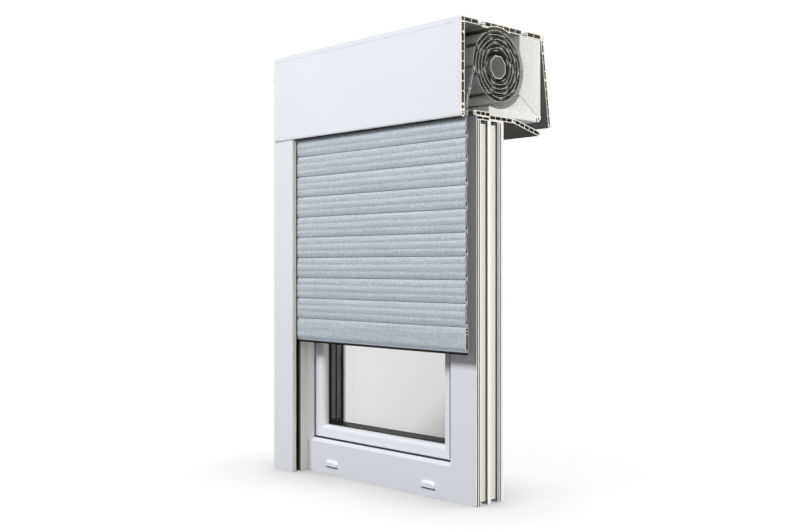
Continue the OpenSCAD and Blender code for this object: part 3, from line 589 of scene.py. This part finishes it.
# Rubber, brush, dark plastic and metals: what they share, and what each has of its own
grainSpec = {
    "detail": 4.0, "rough": 0.6, "range": (0.3, 0.7), "bumpDepth": 0.0003,
    "stretch": (1, 1, 1), "metallic": 0.0, "sheen": 0.5, "nodes": (),
}
grainedSpec = {
    "gasketRubber": {"light": fromScreen(30, 30, 31), "dark": fromScreen(19, 19, 20), "scale": 700,
                     "roughness": (0.5, 0.7), "bump": 0.15,
                     "nodes": ("slot_seal_blade", "stop_gasket", "glass_gaskets")},
    "stripRubber": {"light": fromScreen(24, 24, 25), "dark": fromScreen(14, 14, 15), "scale": 700,
                    "roughness": (0.6, 0.8), "bump": 0.15, "sheen": 0.12},
    "brushFibre": {"light": fromScreen(150, 150, 146), "dark": fromScreen(104, 104, 101), "scale": 1500,
                   "stretch": (1, 0.1, 1), "roughness": (0.7, 0.9), "bump": 0.3,
                   "nodes": ("rail_brushes",)},
    "motorPlastic": {"light": fromScreen(58, 58, 60), "dark": fromScreen(46, 46, 48), "scale": 600,
                     "roughness": (0.45, 0.6), "bump": 0.1,
                     "nodes": ("motor_head", "crown_ring", "drive_wheel")},
    "motorSteel": {"light": fromScreen(66, 67, 70), "dark": fromScreen(52, 53, 56), "scale": 500,
                   "stretch": (0.05, 1, 1), "roughness": (0.35, 0.5), "metallic": 0.3, "bump": 0.08,
                   "nodes": ("motor_tube",)},
    "shaftSteel": {"light": fromScreen(226, 225, 216), "dark": fromScreen(206, 205, 197), "scale": 260,
                   "stretch": (0.06, 1, 1), "roughness": (0.32, 0.5), "metallic": 0.2, "bump": 0.08,
                   "nodes": ("shaft_tube", "slat_hangers")},
    "hingeSteel": {"light": fromScreen(222, 223, 224), "dark": fromScreen(203, 204, 206), "scale": 320,
                   "stretch": (1, 1, 0.1), "roughness": (0.3, 0.45), "metallic": 0.6, "bump": 0.06,
                   "nodes": ("hinge_pins", "hinge_knuckles")},
    "handleMetal": {"light": fromScreen(216, 218, 221), "dark": fromScreen(198, 200, 204), "scale": 700,
                    "stretch": (1, 1, 0.08), "roughness": (0.26, 0.4), "metallic": 0.75, "bump": 0.06},
}


def grained(name, own):
    spec = {**grainSpec, **own}
    material, tree, shader = newMaterial(name)
    grain = noise(tree, place(tree, spec["stretch"]), spec["scale"], spec["detail"], spec["rough"])
    colour = mixColour(tree, spread(tree, grain, *spec["range"]), spec["dark"], spec["light"])
    rough = spread(tree, grain, *spec["range"], *spec["roughness"])
    feed(tree, shader, {"Base Color": colour, "Specular IOR Level": spec["sheen"]})
    feed(tree, shader, {"Metallic": spec["metallic"], "Roughness": rough})
    bump(tree, shader, grain, spec["bump"], spec["bumpDepth"])
    finishNodes(material, *spec["nodes"])
    return material


grainedOf = {name: grained(name, own) for name, own in grainedSpec.items()}
rubber = grainedOf["gasketRubber"]
handleMetal = grainedOf["handleMetal"]

# Bars between the panes
spacerSpec = {
    "bar": fromScreen(104, 104, 101), "barDark": fromScreen(96, 96, 93), "roughness": (0.5, 0.6),
    "grainScale": 300, "grainRange": (0.3, 0.7), "low": fromScreen(18, 18, 18), "lowHeight": 0.02,
    "line": fromScreen(16, 16, 16), "lines": ((-0.0015, 0.0012), (0.0108, 0.0148), (0.0268, 0.0315)),
}


def spacerBars(name, spec):
    # dark bars edged with black sealing lines beside the panes, the low ones painted nearly black as painted
    # shade
    material, tree, shader = newMaterial(name)
    grain = noise(tree, place(tree), spec["grainScale"])
    y, z = axes(tree)[1:]
    sealed = between(tree, y, *spec["lines"][0])
    for limits in spec["lines"][1:]:
        sealed = calc(tree, "MAXIMUM", sealed, between(tree, y, *limits))
    bar = mixColour(tree, spread(tree, grain, *spec["grainRange"]), spec["bar"], spec["barDark"])
    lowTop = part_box("glass_spacers")[0][2] + spec["lowHeight"]
    bar = mixColour(tree, calc(tree, "LESS_THAN", z, lowTop), bar, spec["low"])
    bar = mixColour(tree, sealed, bar, spec["line"])
    rough = spread(tree, grain, *spec["grainRange"], *spec["roughness"])
    feed(tree, shader, {"Base Color": bar, "Roughness": rough})
    return material


finishNodes(spacerBars("spacerPlastic", spacerSpec), "glass_spacers")

# Glass
glassSpec = {
    "lean": 0.9, "wideRange": (-0.36, 0.0), "wideShare": 0.35, "cornerRange": (-0.08, 0.03), "ior": 1.2,
    "clearGlass": ((0.915, 0.915, 0.913, 1), (0.905, 0.905, 0.903, 1)),
    "innerGlass": ((0.881, 0.881, 0.88, 1), (0.44, 0.44, 0.44, 1)),
}


def paneGlass(name, spec):
    # clear glass with painted shade: a little greyer towards the lower right, the inner pane much darker at
    # its lower right corner
    material, tree, shader = newMaterial(name)
    x, y, z = axes(tree)
    slope = minus(tree, times(tree, x, spec["lean"]), z)
    wide = times(tree, spread(tree, slope, *spec["wideRange"]), spec["wideShare"])
    corner = times(tree, spread(tree, slope, *spec["cornerRange"]), 1 - spec["wideShare"])
    colour = mixColour(tree, calc(tree, "ADD", wide, corner), *spec[name])
    feed(tree, shader, {"Base Color": colour, "Roughness": 0.0})
    feed(tree, shader, {"Transmission Weight": 1.0, "IOR": spec["ior"]})
    return material


finishNodes(paneGlass("clearGlass", glassSpec), "pane_outer", "pane_middle")
finishNodes(paneGlass("innerGlass", glassSpec), "pane_inner")
print("finishes on", len(finished), "nodes")


# Profiles that run along the length: a flat curve with its hollows, given its length and made a mesh
def profileAlongX(name, outlines, x0, x1):
    curve = bpy.data.curves.new(name, "CURVE")
    curve.dimensions = "2D"
    curve.fill_mode = "BOTH"
    curve.extrude = (x1 - x0) / 2
    for outline in outlines:
        spline = curve.splines.new("POLY")
        spline.points.add(len(outline) - 1)
        for point, (y, z) in zip(spline.points, outline):
            point.co = (y, z, 0, 1)
        spline.use_cyclic_u = True
    pickOnly(addObject(name, curve))
    bpy.ops.object.convert(target="MESH")
    obj = activeObject()
    obj.rotation_euler = (math.pi / 2, 0, math.pi / 2)
    obj.location = ((x0 + x1) / 2, 0, 0)
    applyPlace(obj)
    closeMesh(obj)
    return obj


def paintProfile(obj, hollows, outsideFinish, sawnFinish, hollowShade):
    # outside faces and sawn ends get their own finish; the walls of the hollows get painted shade
    digits = 6
    paint(obj, outsideFinish, sawnFinish, hollowShade)
    walls = {(round(y, digits), round(z, digits)) for outline in hollows for y, z in outline}
    mesh = obj.data
    for face in mesh.polygons:
        corners = [mesh.vertices[index].co for index in face.vertices]
        if abs(face.normal.x) > facing:
            face.material_index = 1
        elif all((round(corner.y, digits), round(corner.z, digits)) in walls for corner in corners):
            face.material_index = 2


def inMetres(points):
    return [(y / perMetre, z / perMetre) for y, z in points]


# Slats of the hanging curtain: sections and joints in millimetres, ends and travel in metres
slatSpec = {
    "pitch": 43.0, "wall": 0.8, "belly": 1.8, "flute": 0.9, "flutes": 3, "hollow": 3.8, "roundness": 0.7,
    "gap": 1.15, "creaseDepth": 0.5, "skin": 1.0, "backSkin": 1.5, "cells": 3, "cellSteps": 10,
    "neckHalf": 0.45, "beadHalf": 1.7, "beadRise": 1.2, "beadShoulder": 0.7, "beadSide": 0.4, "beadTip": 0.6,
    "lipHalf": 1.25, "lipHeight": 0.8, "beadClear": 0.4, "pocketRoom": 0.7, "faceSteps": 48, "backSteps": 16,
    "mouth": (-64.0, 719.5), "bend": (-56.32, 761.81), "leave": (-43.71, 802.92), "leanBow": 1.692,
    "hanging": 9, "ends": (-0.232, 0.276), "fixedZ": 0.803, "movingZ": 0.3325, "smooth": 25,
}


def beadPoints(base, top, spec):
    # neck and bead above a body, from its face round to its back
    neck = spec["neckHalf"]
    rise = spec["beadRise"]
    half = spec["beadHalf"]
    side = rise * spec["beadSide"]
    rising = [(base, neck), (top - rise, neck), (top - rise, half * spec["beadShoulder"]),
              (top - side, half), (top + side, half), (top + rise, half * spec["beadTip"])]
    return rising + [(s, -v) for s, v in reversed(rising)]


def slatOutlines(spec):
    # section with s up the chain from the joint and v out of the face
    pocketHalf = spec["beadHalf"] + spec["beadClear"]
    edge = pocketHalf + spec["wall"]
    sPocket = spec["beadRise"] + spec["pocketRoom"]
    sLip = -(spec["beadRise"] + spec["beadClear"] + spec["lipHeight"])
    sBody = spec["pitch"] + sLip - spec["gap"]
    sHollow = sPocket + spec["wall"]

    def swell(share):
        return max(0.0, math.sin(math.pi * share)) ** spec["roundness"]

    def face(s):
        share = (s - sLip) / (sBody - sLip)
        ridge = abs(math.sin(spec["flutes"] * math.pi * share))
        return edge - spec["creaseDepth"] + spec["belly"] * swell(share) + spec["flute"] * ridge

    def back(s):
        return -edge + spec["hollow"] * swell((s - sHollow) / (sBody - sHollow))

    def steps(a, b, count):
        return [a + (b - a) * i / count for i in range(count + 1)]

    lip = spec["lipHalf"]
    lipTop = sLip + spec["lipHeight"]
    pocket = [(sLip, -lip), (lipTop, -lip), (lipTop, -pocketHalf), (sPocket, -pocketHalf),
              (sPocket, pocketHalf), (lipTop, pocketHalf), (lipTop, lip), (sLip, lip)]
    outer = [(s, face(s)) for s in steps(sLip, sBody, spec["faceSteps"])]
    outer += beadPoints(sBody, spec["pitch"], spec)
    outer += [(s, back(s)) for s in steps(sBody, sHollow, spec["backSteps"])] + [(sLip, -edge)] + pocket
    hollows = []
    walls = spec["cells"] * spec["wall"]
    length = (sBody - sHollow - walls) / spec["cells"]
    for i in range(spec["cells"]):
        low = sHollow + i * (length + spec["wall"])
        front = [(s, face(s) - spec["skin"]) for s in steps(low, low + length, spec["cellSteps"])]
        rear = [(s, back(s) + spec["backSkin"]) for s in steps(low + length, low, spec["cellSteps"])]
        hollows.append(front + rear)
    return outer, hollows


def standSlat(points, low, high, bow, pitch):
    # stands a section between its lower and upper joint
    lean = math.atan2(high[0] - low[0], high[1] - low[1])
    placed = []
    for s, v in points:
        t = s / pitch
        across = -v + bow * 4 * t * (1 - t)
        y = low[0] + across * math.cos(lean) + s * math.sin(lean)
        z = low[1] - across * math.sin(lean) + s * math.cos(lean)
        placed.append((y, z))
    return inMetres(placed)


def blendSlat(obj):
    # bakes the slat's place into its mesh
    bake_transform(obj)


outerLine, hollowLines = slatOutlines(slatSpec)
mouthY, mouthZ = slatSpec["mouth"]
chain = []
for below in range(slatSpec["hanging"], 0, -1):
    lowJoint = (mouthY, mouthZ - below * slatSpec["pitch"])
    chain.append((lowJoint, (mouthY, lowJoint[1] + slatSpec["pitch"]), 0.0))
chain.append((slatSpec["mouth"], slatSpec["bend"], 0.0))
chain.append((slatSpec["bend"], slatSpec["leave"], slatSpec["leanBow"]))
for index, (lowJoint, highJoint, bow) in enumerate(chain, 1):
    lines = [outerLine] + hollowLines
    outlines = [standSlat(line, lowJoint, highJoint, bow, slatSpec["pitch"]) for line in lines]
    slat = profileAlongX("curtainSlat%02d" % index, outlines, *slatSpec["ends"])
    paintProfile(slat, outlines[1:], hangingPaint, slatCutFace, slatHollowShade)
    smoothByAngle(slat, slatSpec["smooth"])
    nodeName = "slat_%02d" % index
    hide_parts(nodeName)
    blendSlat(slat)
print("curtain slats:", len(chain))

# End bar with a soft band across its face, in millimetres: height above its foot and reach from its middle
endBarSpec = {
    "middleY": -64.0, "low": 283.7, "height": 45.5, "grooveHalf": 1.2, "grooveUp": 3.2, "smooth": 25,
    "face": ((0.0, 1.3), (1.5, 1.45), (3.5, 2.2), (5.5, 3.2), (7.5, 3.9), (10.0, 4.25), (13.0, 4.3),
             (16.0, 4.15), (19.0, 4.0), (22.0, 4.1), (26.0, 4.4), (31.0, 4.6), (36.0, 4.5), (40.0, 4.1),
             (43.0, 3.5), (45.5, 2.4)),
    "rear": ((45.5, 2.9), (44.0, 3.4), (42.0, 3.5), (3.0, 3.5), (1.0, 3.3), (0.0, 2.9)),
    "cells": ((4.5, 32.2), (33.5, 37.9), (39.2, 43.6)), "cellFront": 2.0, "cellRear": 2.3,
}


def upright(middle, low, half, height):
    # a tongue or groove that stands on a foot, from its back over its top to its front
    top = low + height
    return [(middle + half, low), (middle + half, top), (middle - half, top), (middle - half, low)]


def endBarOutlines(spec, slat):
    middle = spec["middleY"]
    low = spec["low"]
    joint = slat["mouth"][1] - slat["hanging"] * slat["pitch"]
    outer = [(middle - v, low + z) for z, v in spec["face"]]
    outer += [(middle - v, z) for z, v in beadPoints(low + spec["height"], joint, slat)]
    outer += [(middle + v, low + z) for z, v in spec["rear"]]
    outer += upright(middle, low, spec["grooveHalf"], spec["grooveUp"])
    front = middle - spec["cellFront"]
    rear = middle + spec["cellRear"]
    hollows = []
    for z0, z1 in spec["cells"]:
        hollows.append([(front, low + z0), (rear, low + z0), (rear, low + z1), (front, low + z1)])
    return [inMetres(line) for line in [outer] + hollows]


barOutlines = endBarOutlines(endBarSpec, slatSpec)
endBar = profileAlongX("curtainEndBar", barOutlines, *slatSpec["ends"])
paintProfile(endBar, barOutlines[1:], hangingPaint, slatCutFace, slatHollowShade)
smoothByAngle(endBar, endBarSpec["smooth"])
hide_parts("end_bar")
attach(endBar, "curtain")

# Rubber strip: a head held in the groove of the end bar and a soft bulb below it
stripSpec = {
    "headHalf": 1.1, "headUp": 2.7, "smooth": 40,
    "bulb": ((0.0, 1.5), (-1.0, 1.9), (-2.6, 2.1), (-3.6, 1.8), (-4.3, 1.2), (-4.6, 0.4)),
}


def stripOutline(spec, bar):
    middle = bar["middleY"]
    low = bar["low"]
    points = [(middle - v, low + z) for z, v in spec["bulb"]]
    points += [(middle + v, low + z) for z, v in reversed(spec["bulb"])]
    return inMetres(points + upright(middle, low, spec["headHalf"], spec["headUp"]))


stripLines = [stripOutline(stripSpec, endBarSpec)]
endStrip = profileAlongX("curtainEndStrip", stripLines, *slatSpec["ends"])
paint(endStrip, grainedOf["stripRubber"])
smoothByAngle(endStrip, stripSpec["smooth"])
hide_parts("end_bar_strip")
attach(endStrip, "curtain")
print("end bar and its strip ready")

# Foam blocks with worn edges
foamBlockSpec = {"merge": 2e-6, "flatten": 1, "edge": 0.0011, "edgeSteps": 2, "edgeAngle": 35, "smooth": 30}


def wornBlock(name, nodeName, spec):
    # own copy of a CAD node's mesh, merged from its loose triangles, with its edges worn
    obj = addObject(name, nodes[nodeName].data.copy())
    obj.data.materials.clear()
    pickOnly(obj)
    enterMode("EDIT")
    selectAll()
    bpy.ops.mesh.remove_doubles(threshold=spec["merge"])
    bpy.ops.mesh.dissolve_limited(angle_limit=math.radians(spec["flatten"]))
    enterMode("OBJECT")
    roundEdges(obj, spec["edge"], spec["edgeSteps"], spec["edgeAngle"])
    paint(obj, foam)
    smoothByAngle(obj, spec["smooth"])
    return obj


for blockName, nodeName in (("rearFoamBlock", "insulation_rear"), ("lowFoamBlock", "insulation_base")):
    block = wornBlock(blockName, nodeName, foamBlockSpec)
    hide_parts(nodeName)
    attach(block, "window_and_box")
print("foam blocks ready")

# Stop gasket between the frame and the sash: a thin frame with rounded lips, wider on the hinge side
stopGasketSpec = {
    "left": -0.210, "right": 0.210, "low": 0.066, "high": 0.643, "front": -0.024, "depth": 0.0012,
    "width": 0.0076, "lipShift": -0.0035, "lipSpread": 1.00939,
    "edge": 0.0004, "edgeSteps": 3, "edgeAngle": 60, "smooth": 40,
}


def finishSeal(seal, spec):
    roundEdges(seal, spec["edge"], spec["edgeSteps"], spec["edgeAngle"])
    paint(seal, rubber)
    smoothByAngle(seal, spec["smooth"])


def gasketFrame(name, spec):
    clearSelection()
    middle = ((spec["left"] + spec["right"]) / 2, spec["front"], (spec["low"] + spec["high"]) / 2)
    bpy.ops.mesh.primitive_plane_add(size=1, location=middle, rotation=(math.pi / 2, 0, 0))
    seal = activeObject()
    seal.name = name
    seal.scale = (spec["right"] - spec["left"], spec["high"] - spec["low"], 1)
    applyPlace(seal)
    enterMode("EDIT")
    selectAll()
    insetBy(spec["width"])
    bpy.ops.transform.resize(value=(spec["lipSpread"], 1, 1), center_override=middle)
    bpy.ops.transform.translate(value=(spec["lipShift"], 0, 0))
    bpy.ops.mesh.delete(type="FACE")
    selectAll()
    extrudeBy((0, spec["depth"], 0))
    enterMode("OBJECT")
    closeMesh(seal)
    finishSeal(seal, spec)
    return seal


stopSeal = gasketFrame("stopSeal", stopGasketSpec)
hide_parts("stop_gasket")
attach(stopSeal, "window_and_box")

# Fine seal bead on the sash face along the hinge side
sealBeadSpec = {
    "x": (0.1951, 0.198), "y": (-0.0235, -0.0227), "z": (0.0765, 0.6325),
    "edge": 0.0003, "edgeSteps": 3, "edgeAngle": 60, "smooth": 40,
}


def sealBead(name, spec):
    middle = [sum(spec[axis]) / 2 for axis in "xyz"]
    bead = addBlock(name, middle, [spec[axis][1] - spec[axis][0] for axis in "xyz"])
    finishSeal(bead, spec)
    return bead


hingeSeal = sealBead("hingeSeal", sealBeadSpec)
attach(hingeSeal, "sash")
print("seals ready")

# Hooded caps over the drain slots
drainCapSpec = {
    "middles": ((-0.131, -0.038, 0.0148), (0.153, -0.038, 0.0148)),
    "width": 0.039, "proud": 0.005, "height": 0.0156, "corner": 0.0072, "cornerSteps": 8,
    "noseWidth": 0.84, "noseHeight": 0.72, "rim": 0.0013, "rimSteps": 4,
    "wall": 0.0011, "mouthDepth": 0.006, "mouthNarrow": (0.9, 0.55, 1),
    "slotHeight": 0.0034, "slotWall": 0.0006, "slotSink": 0.8, "smooth": 40,
}


def drainHood(middle, spec):
    x, y, z = middle
    frontY = y - spec["proud"]
    hoodZ = z + spec["slotHeight"]
    topZ = z + spec["height"]
    size = (spec["width"], spec["proud"], topZ - hoodZ)
    hood = addBlock("hood", (x, y - spec["proud"] / 2, (hoodZ + topZ) / 2), size)
    # round the two upper corners
    bevelWhere(hood, lambda a, b: liesAt(2, topZ, a, b) and liesAt(0, a.x, b),
               spec["corner"], spec["cornerSteps"])
    # draw the nose in so that the hood slopes down from the sill
    resizeWhere(hood, (spec["noseWidth"], 1, spec["noseHeight"]), (x, frontY, hoodZ),
                faceTest=lambda c, n: n.y < -facing and liesAt(1, frontY, c))
    # soften the rim of the nose
    bevelWhere(hood, lambda a, b: liesAt(1, frontY, a, b) and not liesAt(2, hoodZ, a, b),
               spec["rim"], spec["rimSteps"])
    # open the mouth underneath
    selectWhere(hood, faceTest=lambda c, n: n.z < -facing and liesAt(2, hoodZ, c))
    insetBy(spec["wall"])
    extrudeBy((0, 0, spec["mouthDepth"]))
    bpy.ops.transform.resize(value=spec["mouthNarrow"], center_override=(x, y - spec["wall"], hoodZ))
    enterMode("OBJECT")
    closeMesh(hood)
    paint(hood, whitePlastic)
    smoothByAngle(hood, spec["smooth"])
    return hood


def drainPlate(middle, spec):
    # plate below the hood with the drain slot sunk into it, its sunk faces painted dark as painted shade
    x, y, z = middle
    depth = spec["wall"]
    height = spec["slotHeight"]
    plate = addBlock("plate", (x, y - depth / 2, z + height / 2), (spec["width"], depth, height))
    selectWhere(plate, faceTest=lambda c, n: n.y < -facing)
    insetBy(spec["slotWall"])
    extrudeBy((0, depth * spec["slotSink"], 0))
    enterMode("OBJECT")
    paint(plate, whitePlastic, slatHollowShade)
    for face in plate.data.polygons:
        middleOfFace = face.center
        atSide = abs(middleOfFace.x - x) > spec["width"] / 2 - near
        atEdge = middleOfFace.z > z + height - near or middleOfFace.z < z + near
        inDepth = y - depth + near < middleOfFace.y <= y - near
        face.material_index = 1 if inDepth and not atSide and not atEdge else 0
    return plate


caps = []
for middle in drainCapSpec["middles"]:
    caps.append(joinInto("drainCap", [drainHood(middle, drainCapSpec), drainPlate(middle, drainCapSpec)]))
drainCaps = joinInto("drainCaps", caps)
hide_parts("drain_caps")
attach(drainCaps, "window_and_box")
print("drain caps ready")

# Window handle: base plate with rounded ends, neck and a tapered lever
handleSpec = {
    "x": -0.215, "z": 0.42, "baseY": 0.053, "baseDepth": 0.009, "baseWidth": 0.032, "baseHeight": 0.072,
    "baseCorner": 0.48, "baseCornerSteps": 14, "baseEdge": 0.0007, "baseEdgeSteps": 3, "baseSmooth": 35,
    "rimWidth": 0.0008, "grooveWidth": 0.0005, "grooveDepth": 0.0005, "edgeRoom": 0.0006,
    "leverY": 0.084, "leverDepth": 0.012, "leverWidth": 0.022, "leverLength": 0.118, "leverExtra": 0.0105,
    "neckRadius": 0.008, "neckSides": 40, "neckSeat": 0.0022, "neckInLever": 0.004,
    "rings": (0.25, 0.5, 0.75), "waist": 0.82, "waistAt": 0.5, "tipWidth": 0.82, "tipDepth": 0.72,
    "gripCorner": 0.0085, "gripCornerSteps": 10, "gripEdge": 0.0034, "gripEdgeSteps": 6, "gripEdgeAngle": 50,
    "leverSmooth": 40,
}


def alongDepth(a, b):
    # edges that run straight back from the face
    return liesAt(0, a.x, b) and liesAt(2, a.z, b)


def onBaseOutline(a, b, spec):
    # edges on the outer outline of the base plate's front
    half = spec["baseWidth"] / 2
    straight = spec["baseHeight"] / 2 - half
    for point in (a, b):
        dz = max(0.0, abs(point.z - spec["z"]) - straight)
        if math.hypot(point.x - spec["x"], dz) < half - spec["edgeRoom"]:
            return False
    return True


def handleBase(spec):
    frontY = spec["baseY"] + spec["baseDepth"]
    base = addBlock("handleBase", (spec["x"], spec["baseY"] + spec["baseDepth"] / 2, spec["z"]),
                    (spec["baseWidth"], spec["baseDepth"], spec["baseHeight"]))
    bevelWhere(base, alongDepth, spec["baseWidth"] * spec["baseCorner"], spec["baseCornerSteps"])
    # a rim and a fine groove inside it
    selectWhere(base, faceTest=lambda c, n: n.y > facing and liesAt(1, frontY, c))
    insetBy(spec["rimWidth"])
    insetBy(spec["grooveWidth"], -spec["grooveDepth"])
    insetBy(spec["grooveWidth"], spec["grooveDepth"])
    enterMode("OBJECT")
    bevelWhere(base, lambda a, b: liesAt(1, frontY, a, b) and onBaseOutline(a, b, spec),
               spec["baseEdge"], spec["baseEdgeSteps"])
    closeMesh(base)
    smoothByAngle(base, spec["baseSmooth"])
    return base


def handleNeck(spec):
    # round neck with a waist
    startY = spec["baseY"] + spec["neckSeat"]
    endY = spec["leverY"] + spec["neckInLever"]
    middle = (spec["x"], (startY + endY) / 2, spec["z"])
    clearSelection()
    bpy.ops.mesh.primitive_cylinder_add(vertices=spec["neckSides"], radius=spec["neckRadius"],
                                        depth=endY - startY, location=middle, rotation=(math.pi / 2, 0, 0))
    neck = activeObject()
    applyPlace(neck)
    plateY = spec["baseY"] + spec["baseDepth"]
    free = spec["leverY"] - plateY
    enterMode("EDIT")
    for share in spec["rings"]:
        selectAll()
        bpy.ops.mesh.bisect(plane_co=(0, plateY + free * share, 0), plane_no=(0, 1, 0))
    enterMode("OBJECT")
    waistY = plateY + free * spec["waistAt"]
    resizeWhere(neck, (spec["waist"], 1, spec["waist"]), (spec["x"], waistY, spec["z"]),
                edgeTest=lambda a, b: liesAt(1, waistY, a, b))
    return neck


def handleGrip(spec):
    highZ = spec["z"] + spec["leverWidth"] / 2
    lowZ = highZ - spec["leverLength"] - spec["leverExtra"]
    middle = (spec["x"], spec["leverY"] + spec["leverDepth"] / 2, (lowZ + highZ) / 2)
    grip = addBlock("grip", middle, (spec["leverWidth"], spec["leverDepth"], highZ - lowZ))
    # tapered towards the tip
    tip = (spec["x"], spec["leverY"] + spec["leverDepth"], lowZ)
    resizeWhere(grip, (spec["tipWidth"], spec["tipDepth"], 1), tip, faceTest=lambda c, n: n.z < -facing)
    bevelWhere(grip, alongDepth, spec["gripCorner"], spec["gripCornerSteps"])
    roundEdges(grip, spec["gripEdge"], spec["gripEdgeSteps"], spec["gripEdgeAngle"])
    return grip


base = handleBase(handleSpec)
paint(base, handleMetal)
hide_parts("handle_rose")
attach(base, "sash")
neck = handleNeck(handleSpec)
lever = joinInto("handleLever", [handleGrip(handleSpec), neck])
smoothByAngle(lever, handleSpec["leverSmooth"])
paint(lever, handleMetal)
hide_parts("handle_lever")
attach(lever, "handle")
print("handle ready")

# Floor and backdrop: white in view and in reflections; the floor's glow is dimmed near the object and where
# the object hides it as painted shadow, over its faint real shadow
stageSpec = {
    "size": 14.0, "below": -0.0003, "floor": (0.07, 0.07, 0.07, 1), "floorRoughness": 0.9,
    "glow": (0.93, 1.0), "glowReach": (0.4, 0.95), "contactReach": 0.22, "contactRange": (0.3, 1.0),
    "contactGlow": (0.45, 1.0), "white": (1, 1, 1, 1), "skyRange": (-0.2, 0.6), "skyLevel": (0.22, 0.36),
    "coolSide": (0.95, 0.975, 1.0, 1), "warmSide": (1.0, 0.96, 0.89, 1),
}


def seenDirectly(tree):
    path = addNode(tree, "LightPath", {})
    seen = calc(tree, "MAXIMUM", path.outputs["Is Camera Ray"], path.outputs["Is Glossy Ray"])
    return calc(tree, "MAXIMUM", seen, path.outputs["Is Transmission Ray"])


def floorFinish(name, spec):
    # glows white, with painted shadow: less so near the object and least where the object hides it
    material, tree, shader = newMaterial(name)
    x, y, z = axes(tree)
    glow = spread(tree, reachOf(tree, x, y), *spec["glowReach"], *spec["glow"])
    hidden = addNode(tree, "AmbientOcclusion", {"Distance": spec["contactReach"]})
    contact = spread(tree, hidden.outputs["AO"], *spec["contactRange"], *spec["contactGlow"])
    glow = times(tree, seenDirectly(tree), times(tree, glow, contact))
    feed(tree, shader, {"Base Color": spec["floor"], "Roughness": spec["floorRoughness"]})
    feed(tree, shader, {"Specular IOR Level": 0.0, "Emission Color": spec["white"]})
    feed(tree, shader, {"Emission Strength": glow})
    return material


clearSelection()
bpy.ops.mesh.primitive_plane_add(size=stageSpec["size"], location=(0, 0, stageSpec["below"]))
floor = activeObject()
floor.name = "studioFloor"
paint(floor, floorFinish("studioFloor", stageSpec))

world = bpy.data.worlds.new("studioWorld")
bpy.context.scene.world = world
world.use_nodes = True
worldTree = world.node_tree
seen = seenDirectly(worldTree)
skyX = axes(worldTree, "Generated")[0]
toRight = spread(worldTree, skyX, *stageSpec["skyRange"])
skyColour = mixColour(worldTree, toRight, stageSpec["coolSide"], stageSpec["warmSide"])
skyLevel = spread(worldTree, skyX, *stageSpec["skyRange"], *stageSpec["skyLevel"])
feed(worldTree, worldTree.nodes["Background"], {
    "Color": mixColour(worldTree, seen, skyColour, stageSpec["white"]),
    "Strength": calc(worldTree, "MAXIMUM", seen, skyLevel),
})

# Soft lamps: the main one from the front above, a warmer one from the right, a low one in the room behind
lampSpec = {
    "mainLamp": {"place": (-0.8, -3.6, 3.4), "aim": (0, 0, 0.4), "size": 1.4, "power": 206,
                 "colour": (0.98, 0.99, 1.0)},
    "sideLamp": {"place": (2.5, 0.0, 0.6), "aim": (0.27, 0.05, 0.5), "size": 1.0, "power": 36,
                 "colour": (1.0, 0.985, 0.955)},
    "backLamp": {"place": (0.8, 2.8, 0.9), "aim": (0, 0, 0.45), "size": 1.4, "power": 40,
                 "colour": (1.0, 0.99, 0.97)},
}
for lampName, spec in lampSpec.items():
    data = bpy.data.lights.new(lampName, "AREA")
    data.size = spec["size"]
    data.energy = spec["power"]
    data.color = spec["colour"]
    lamp = addObject(lampName, data)
    lamp.location = spec["place"]
    aim = [spec["aim"][i] - spec["place"][i] for i in range(3)]
    flat = math.hypot(aim[0], aim[1])
    lamp.rotation_euler = (math.atan2(flat, -aim[2]), 0, math.atan2(aim[1], aim[0]) - math.pi / 2)

# Camera fitted to the edges of the box and the window
cameraSpec = {"place": (1.5226, -1.4419, 0.4408), "turn": 45.9, "lens": 46.2, "sensor": 36}
cameraData = bpy.data.cameras.new("photoCamera")
cameraData.lens = cameraSpec["lens"]
cameraData.sensor_width = cameraSpec["sensor"]
camera = addObject("photoCamera", cameraData)
camera.location = cameraSpec["place"]
camera.rotation_euler = (math.pi / 2, 0, math.radians(cameraSpec["turn"]))
bpy.context.scene.camera = camera
bpy.context.scene.view_settings.view_transform = "Standard"
print("stage ready")

clearSelection()
